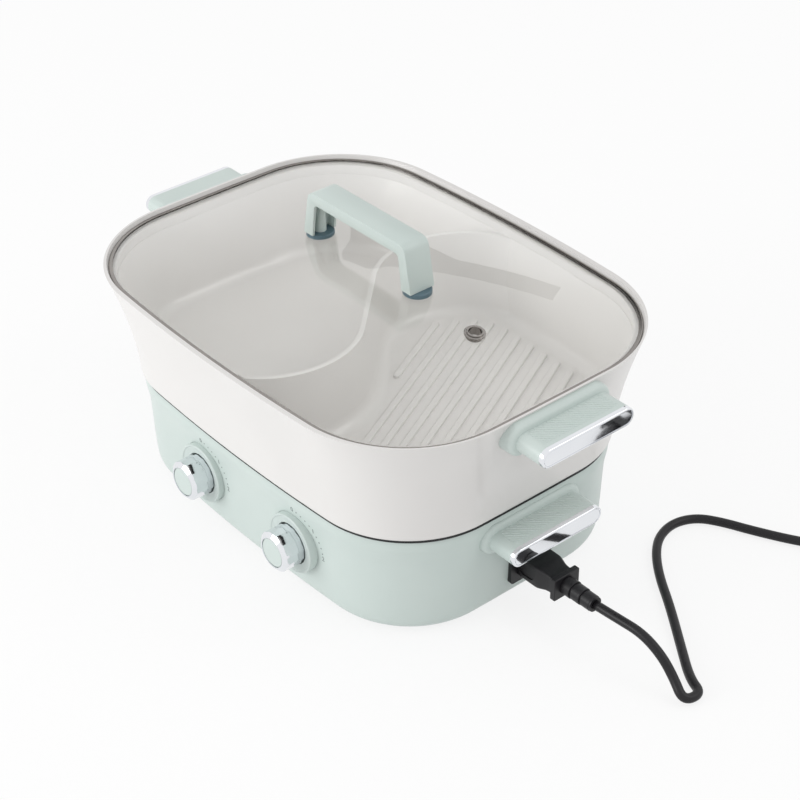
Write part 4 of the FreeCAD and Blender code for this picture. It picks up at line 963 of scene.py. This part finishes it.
def grip_ribs(part):
    """A field of slanting ribs on a grip's flat top, as one plain mesh that rides with it."""
    name, middle = f"{part}_grip_ribs", GRIPS[part][0] * MM
    host = placed(name, bpy.data.meshes.new(name))
    modifier = host.modifiers.new("ribs", "NODES")
    modifier.node_group = diagonal_ribs
    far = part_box(f"{part}_grip_right")[1][0] - RIB_INSET
    sizes = (far - RIB_DEPTH, far, RIB_HALF_SPAN, middle + GRIP_HALF_HEIGHT * MM - RIB_SUNK, RIB_ANGLE,
             RIB_PITCH, RIB_WIDTH, RIB_HEIGHT)
    values = dict(zip(RIB_SIZES, sizes), Finish=mint_abs)
    for socket in diagonal_ribs.interface.items_tree:
        if socket.in_out == "INPUT":
            modifier[socket.identifier] = values[socket.name]
    mesh = as_mesh(host)
    bpy.data.objects.remove(host)
    piece = new_piece(name, mesh)
    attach(piece, part)
    print(name, "faces", len(mesh.polygons), "z", round(max(v.co.z for v in mesh.vertices) / MM, 1))


for part in GRIPS:
    grip_ribs(part)

# %% [markdown]
# The marks round the dials are pad-printed: a thin film of grey ink laid on the bent wall. Each mark
# starts flat, as a figure or a dot with a hair of thickness. Every point of it is then carried back
# onto the wall by a ray from the front, so the print follows the wall wherever it bends. Pad ink
# dries to a dull film, so the marks stay readable where the wall beside them shines.

# %% Printed dial marks
MARK_RADIUS, FIGURE_SIZE, DOT_RADIUS = 31.5 * MM, 6.0 * MM, 0.6 * MM
MARK_ANGLES = (90.0, 45.0, 0.0)
DOTS_BETWEEN, DOT_SIDES = 4, 16
FILM, LIFT = 0.04 * MM, 0.08 * MM


def flat_figure(text):
    """A figure as a thin flat plate, centred on the origin."""
    data = bpy.data.curves.new("figure", "FONT")
    data.body, data.size, data.extrude = text, FIGURE_SIZE, FILM
    data.align_x, data.align_y = "CENTER", "CENTER"
    lettering = placed("figure", data)
    mesh = as_mesh(lettering)
    bpy.data.objects.remove(lettering)
    return mesh


def flat_dot():
    """A round dot as a thin flat plate, centred on the origin."""
    disc = bmesh.new()
    bmesh.ops.create_cone(disc, cap_ends=True, segments=DOT_SIDES, radius1=DOT_RADIUS,
                          radius2=DOT_RADIUS, depth=FILM * 2)
    mesh = bpy.data.meshes.new("dot")
    disc.to_mesh(mesh)
    disc.free()
    return mesh


def lay_on_wall(target, mark, x, z, wall):
    """Adds a flat mark to the print, carried back from the front onto the wall at one place."""
    first = len(target.verts)
    target.from_mesh(mark)
    target.verts.ensure_lookup_table()
    for vertex in target.verts[first:]:
        across, up, depth = vertex.co
        hit = wall.ray_cast(Vector((x + across, -OUTSIDE, z + up)), Vector((0, 1, 0)))[0]
        vertex.co = Vector((x + across, hit.y - LIFT - depth, z + up))


def dial_marks():
    """Figures round both dials, with dots between them, as one print on the wall."""
    wall = wall_tree("base_shell")
    figures = [flat_figure(str(i)) for i in range(len(MARK_ANGLES))]
    dot = flat_dot()
    dots = (len(MARK_ANGLES) - 1) * (DOTS_BETWEEN + 1)
    whole_turn = MARK_ANGLES[0] - MARK_ANGLES[-1]
    printing = bmesh.new()
    for side in ("left", "right"):
        low, high = (Vector(corner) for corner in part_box(f"dial_bezel_{side}"))
        centre = (low + high) / 2
        for i in range(dots + 1):
            angle = math.radians(MARK_ANGLES[0] - whole_turn * i / dots)
            place = (centre.x + MARK_RADIUS * math.cos(angle), centre.z + MARK_RADIUS * math.sin(angle))
            figure, step = divmod(i, DOTS_BETWEEN + 1)
            lay_on_wall(printing, dot if step else figures[figure], *place, wall)
    mesh = bpy.data.meshes.new("dial_marks")
    printing.to_mesh(mesh)
    printing.free()
    return new_piece("dial_marks", mesh)


ink = coated("grey_pad_ink", "#6C7674", "#747E7C", 6.0, 0.4, 0.002, (0.45, 0.55), {"IOR": 1.5})
marks = dial_marks()
finish(marks, ink)
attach(marks, "base")
print("dial marks", len(marks.data.polygons), "faces")

# %% [markdown]
# The studio is plain: a white floor, an even white surround, a large low soft light at the front
# left and a second one at the back right. The floor is painted so that the eye, mirrors and glass
# see it near white, while it keeps the object's soft shadow.

# %% Floor and surround
PLAIN_WHITE, FLOOR_SIZE, AMBIENT = 0.82, 12.0, 0.8


def by_ray(tree, lighting, seen):
    """One number for rays that light things, and one for the eye, also through mirrors and glass."""
    return add(tree, "ShaderNodeMapRange", inputs={
        "Value": is_ray(tree, "Camera", "Glossy", "Transmission"), "To Min": lighting,
        "To Max": seen}).outputs["Result"]


def floor_material():
    """White paint that glows a little for the eye, so the floor is even but keeps the shadow."""
    material, tree, output = new_material("studio_floor")
    white = add(tree, "ShaderNodeBsdfDiffuse", inputs={"Color": linear("#F4F4F4")})
    glow = add(tree, "ShaderNodeEmission", inputs={"Color": linear("#FFFFFF"), "Strength": 1.0})
    both = add(tree, "ShaderNodeMixShader", inputs={
        0: by_ray(tree, 0.0, PLAIN_WHITE), 1: white.outputs["BSDF"], 2: glow.outputs["Emission"]})
    tree.links.new(both.outputs["Shader"], output.inputs["Surface"])
    return material


def card(name, width, height, place, facing, material):
    """A flat board that stands in the studio and faces a point."""
    data = bpy.data.meshes.new(name)
    w, h = width / 2, height / 2
    data.from_pydata([(-w, -h, 0), (w, -h, 0), (w, h, 0), (-w, h, 0)], [], [(0, 1, 2, 3)])
    board = placed(name, data)
    board.location = place
    board.rotation_euler = (Vector(facing) - Vector(place)).to_track_quat("Z", "Y").to_euler()
    finish(board, material)
    return board


floor = card("studio_floor", FLOOR_SIZE, FLOOR_SIZE, (0, 0, 0), (0, 0, 1), floor_material())
floor.rotation_euler = (0, 0, 0)

world = bpy.data.worlds.new("studio")
bpy.context.scene.world = world
world.use_nodes = True
world.node_tree.nodes.clear()
surround = add(world.node_tree, "ShaderNodeBackground", inputs={
    "Color": linear("#FFFFFF"), "Strength": by_ray(world.node_tree, AMBIENT, 1.0)})
add(world.node_tree, "ShaderNodeOutputWorld", inputs={"Surface": surround.outputs["Background"]})
print("floor and surround ready")

# %% [markdown]
# Both lamps are large, so their light wraps round the pot and their mirror images on the gloss are
# broad and soft. Polished metal in an all-white room would have no outline. So boards of matt black
# cloth stand far out of the picture, where only mirrors see them, and they draw its edges.

# %% Lamps and dark boards
LAMP_AIM, BOARD_AIM, BOARD_DISTANCE = (0, 0, 0.12), Vector((0, 0, 0.15)), 2.6
LAMPS = {"key_light": ((1.6, 1.2), (-0.9, -2.2, 0.9), 26.0),
         "back_light": ((1.2, 1.2), (1.4, 1.2, 1.9), 8.0)}
BOARDS = {"right_board": (42.6, 39.9, 0.9, 0.45), "front_board": (220.3, 29.9, 0.9, 0.45),
          "back_board": (131.0, 29.0, 0.95, 0.4)}


def soft_light(name, size, place, power):
    """A rectangular lamp at a place that shines on the pot."""
    data = bpy.data.lights.new(name, "AREA")
    data.shape = "RECTANGLE"
    data.size, data.size_y = size
    data.energy = power
    lamp = placed(name, data)
    lamp.location = place
    lamp.rotation_euler = (Vector(place) - Vector(LAMP_AIM)).to_track_quat("Z", "Y").to_euler()


def dark_board(name, azimuth, elevation, width, height, material):
    """A dark board in one direction from the pot, which only mirrors see."""
    a, e = math.radians(azimuth), math.radians(elevation)
    direction = Vector((math.cos(a) * math.cos(e), math.sin(a) * math.cos(e), math.sin(e)))
    board = card(name, width, height, BOARD_AIM + direction * BOARD_DISTANCE, BOARD_AIM, material)
    board.visible_camera = board.visible_diffuse = board.visible_shadow = False
    board.visible_transmission = board.visible_volume_scatter = False


def matt_black():
    """Black cloth, which gives nearly no light back."""
    material, tree, output = new_material("black_cloth")
    cloth = add(tree, "ShaderNodeBsdfDiffuse", inputs={"Color": linear("#101010")})
    tree.links.new(cloth.outputs["BSDF"], output.inputs["Surface"])
    return material


black_cloth = matt_black()
for name, direction_and_size in BOARDS.items():
    dark_board(name, *direction_and_size, black_cloth)
for name, size_place_power in LAMPS.items():
    soft_light(name, *size_place_power)
print("lamps and boards", [*LAMPS, *BOARDS])
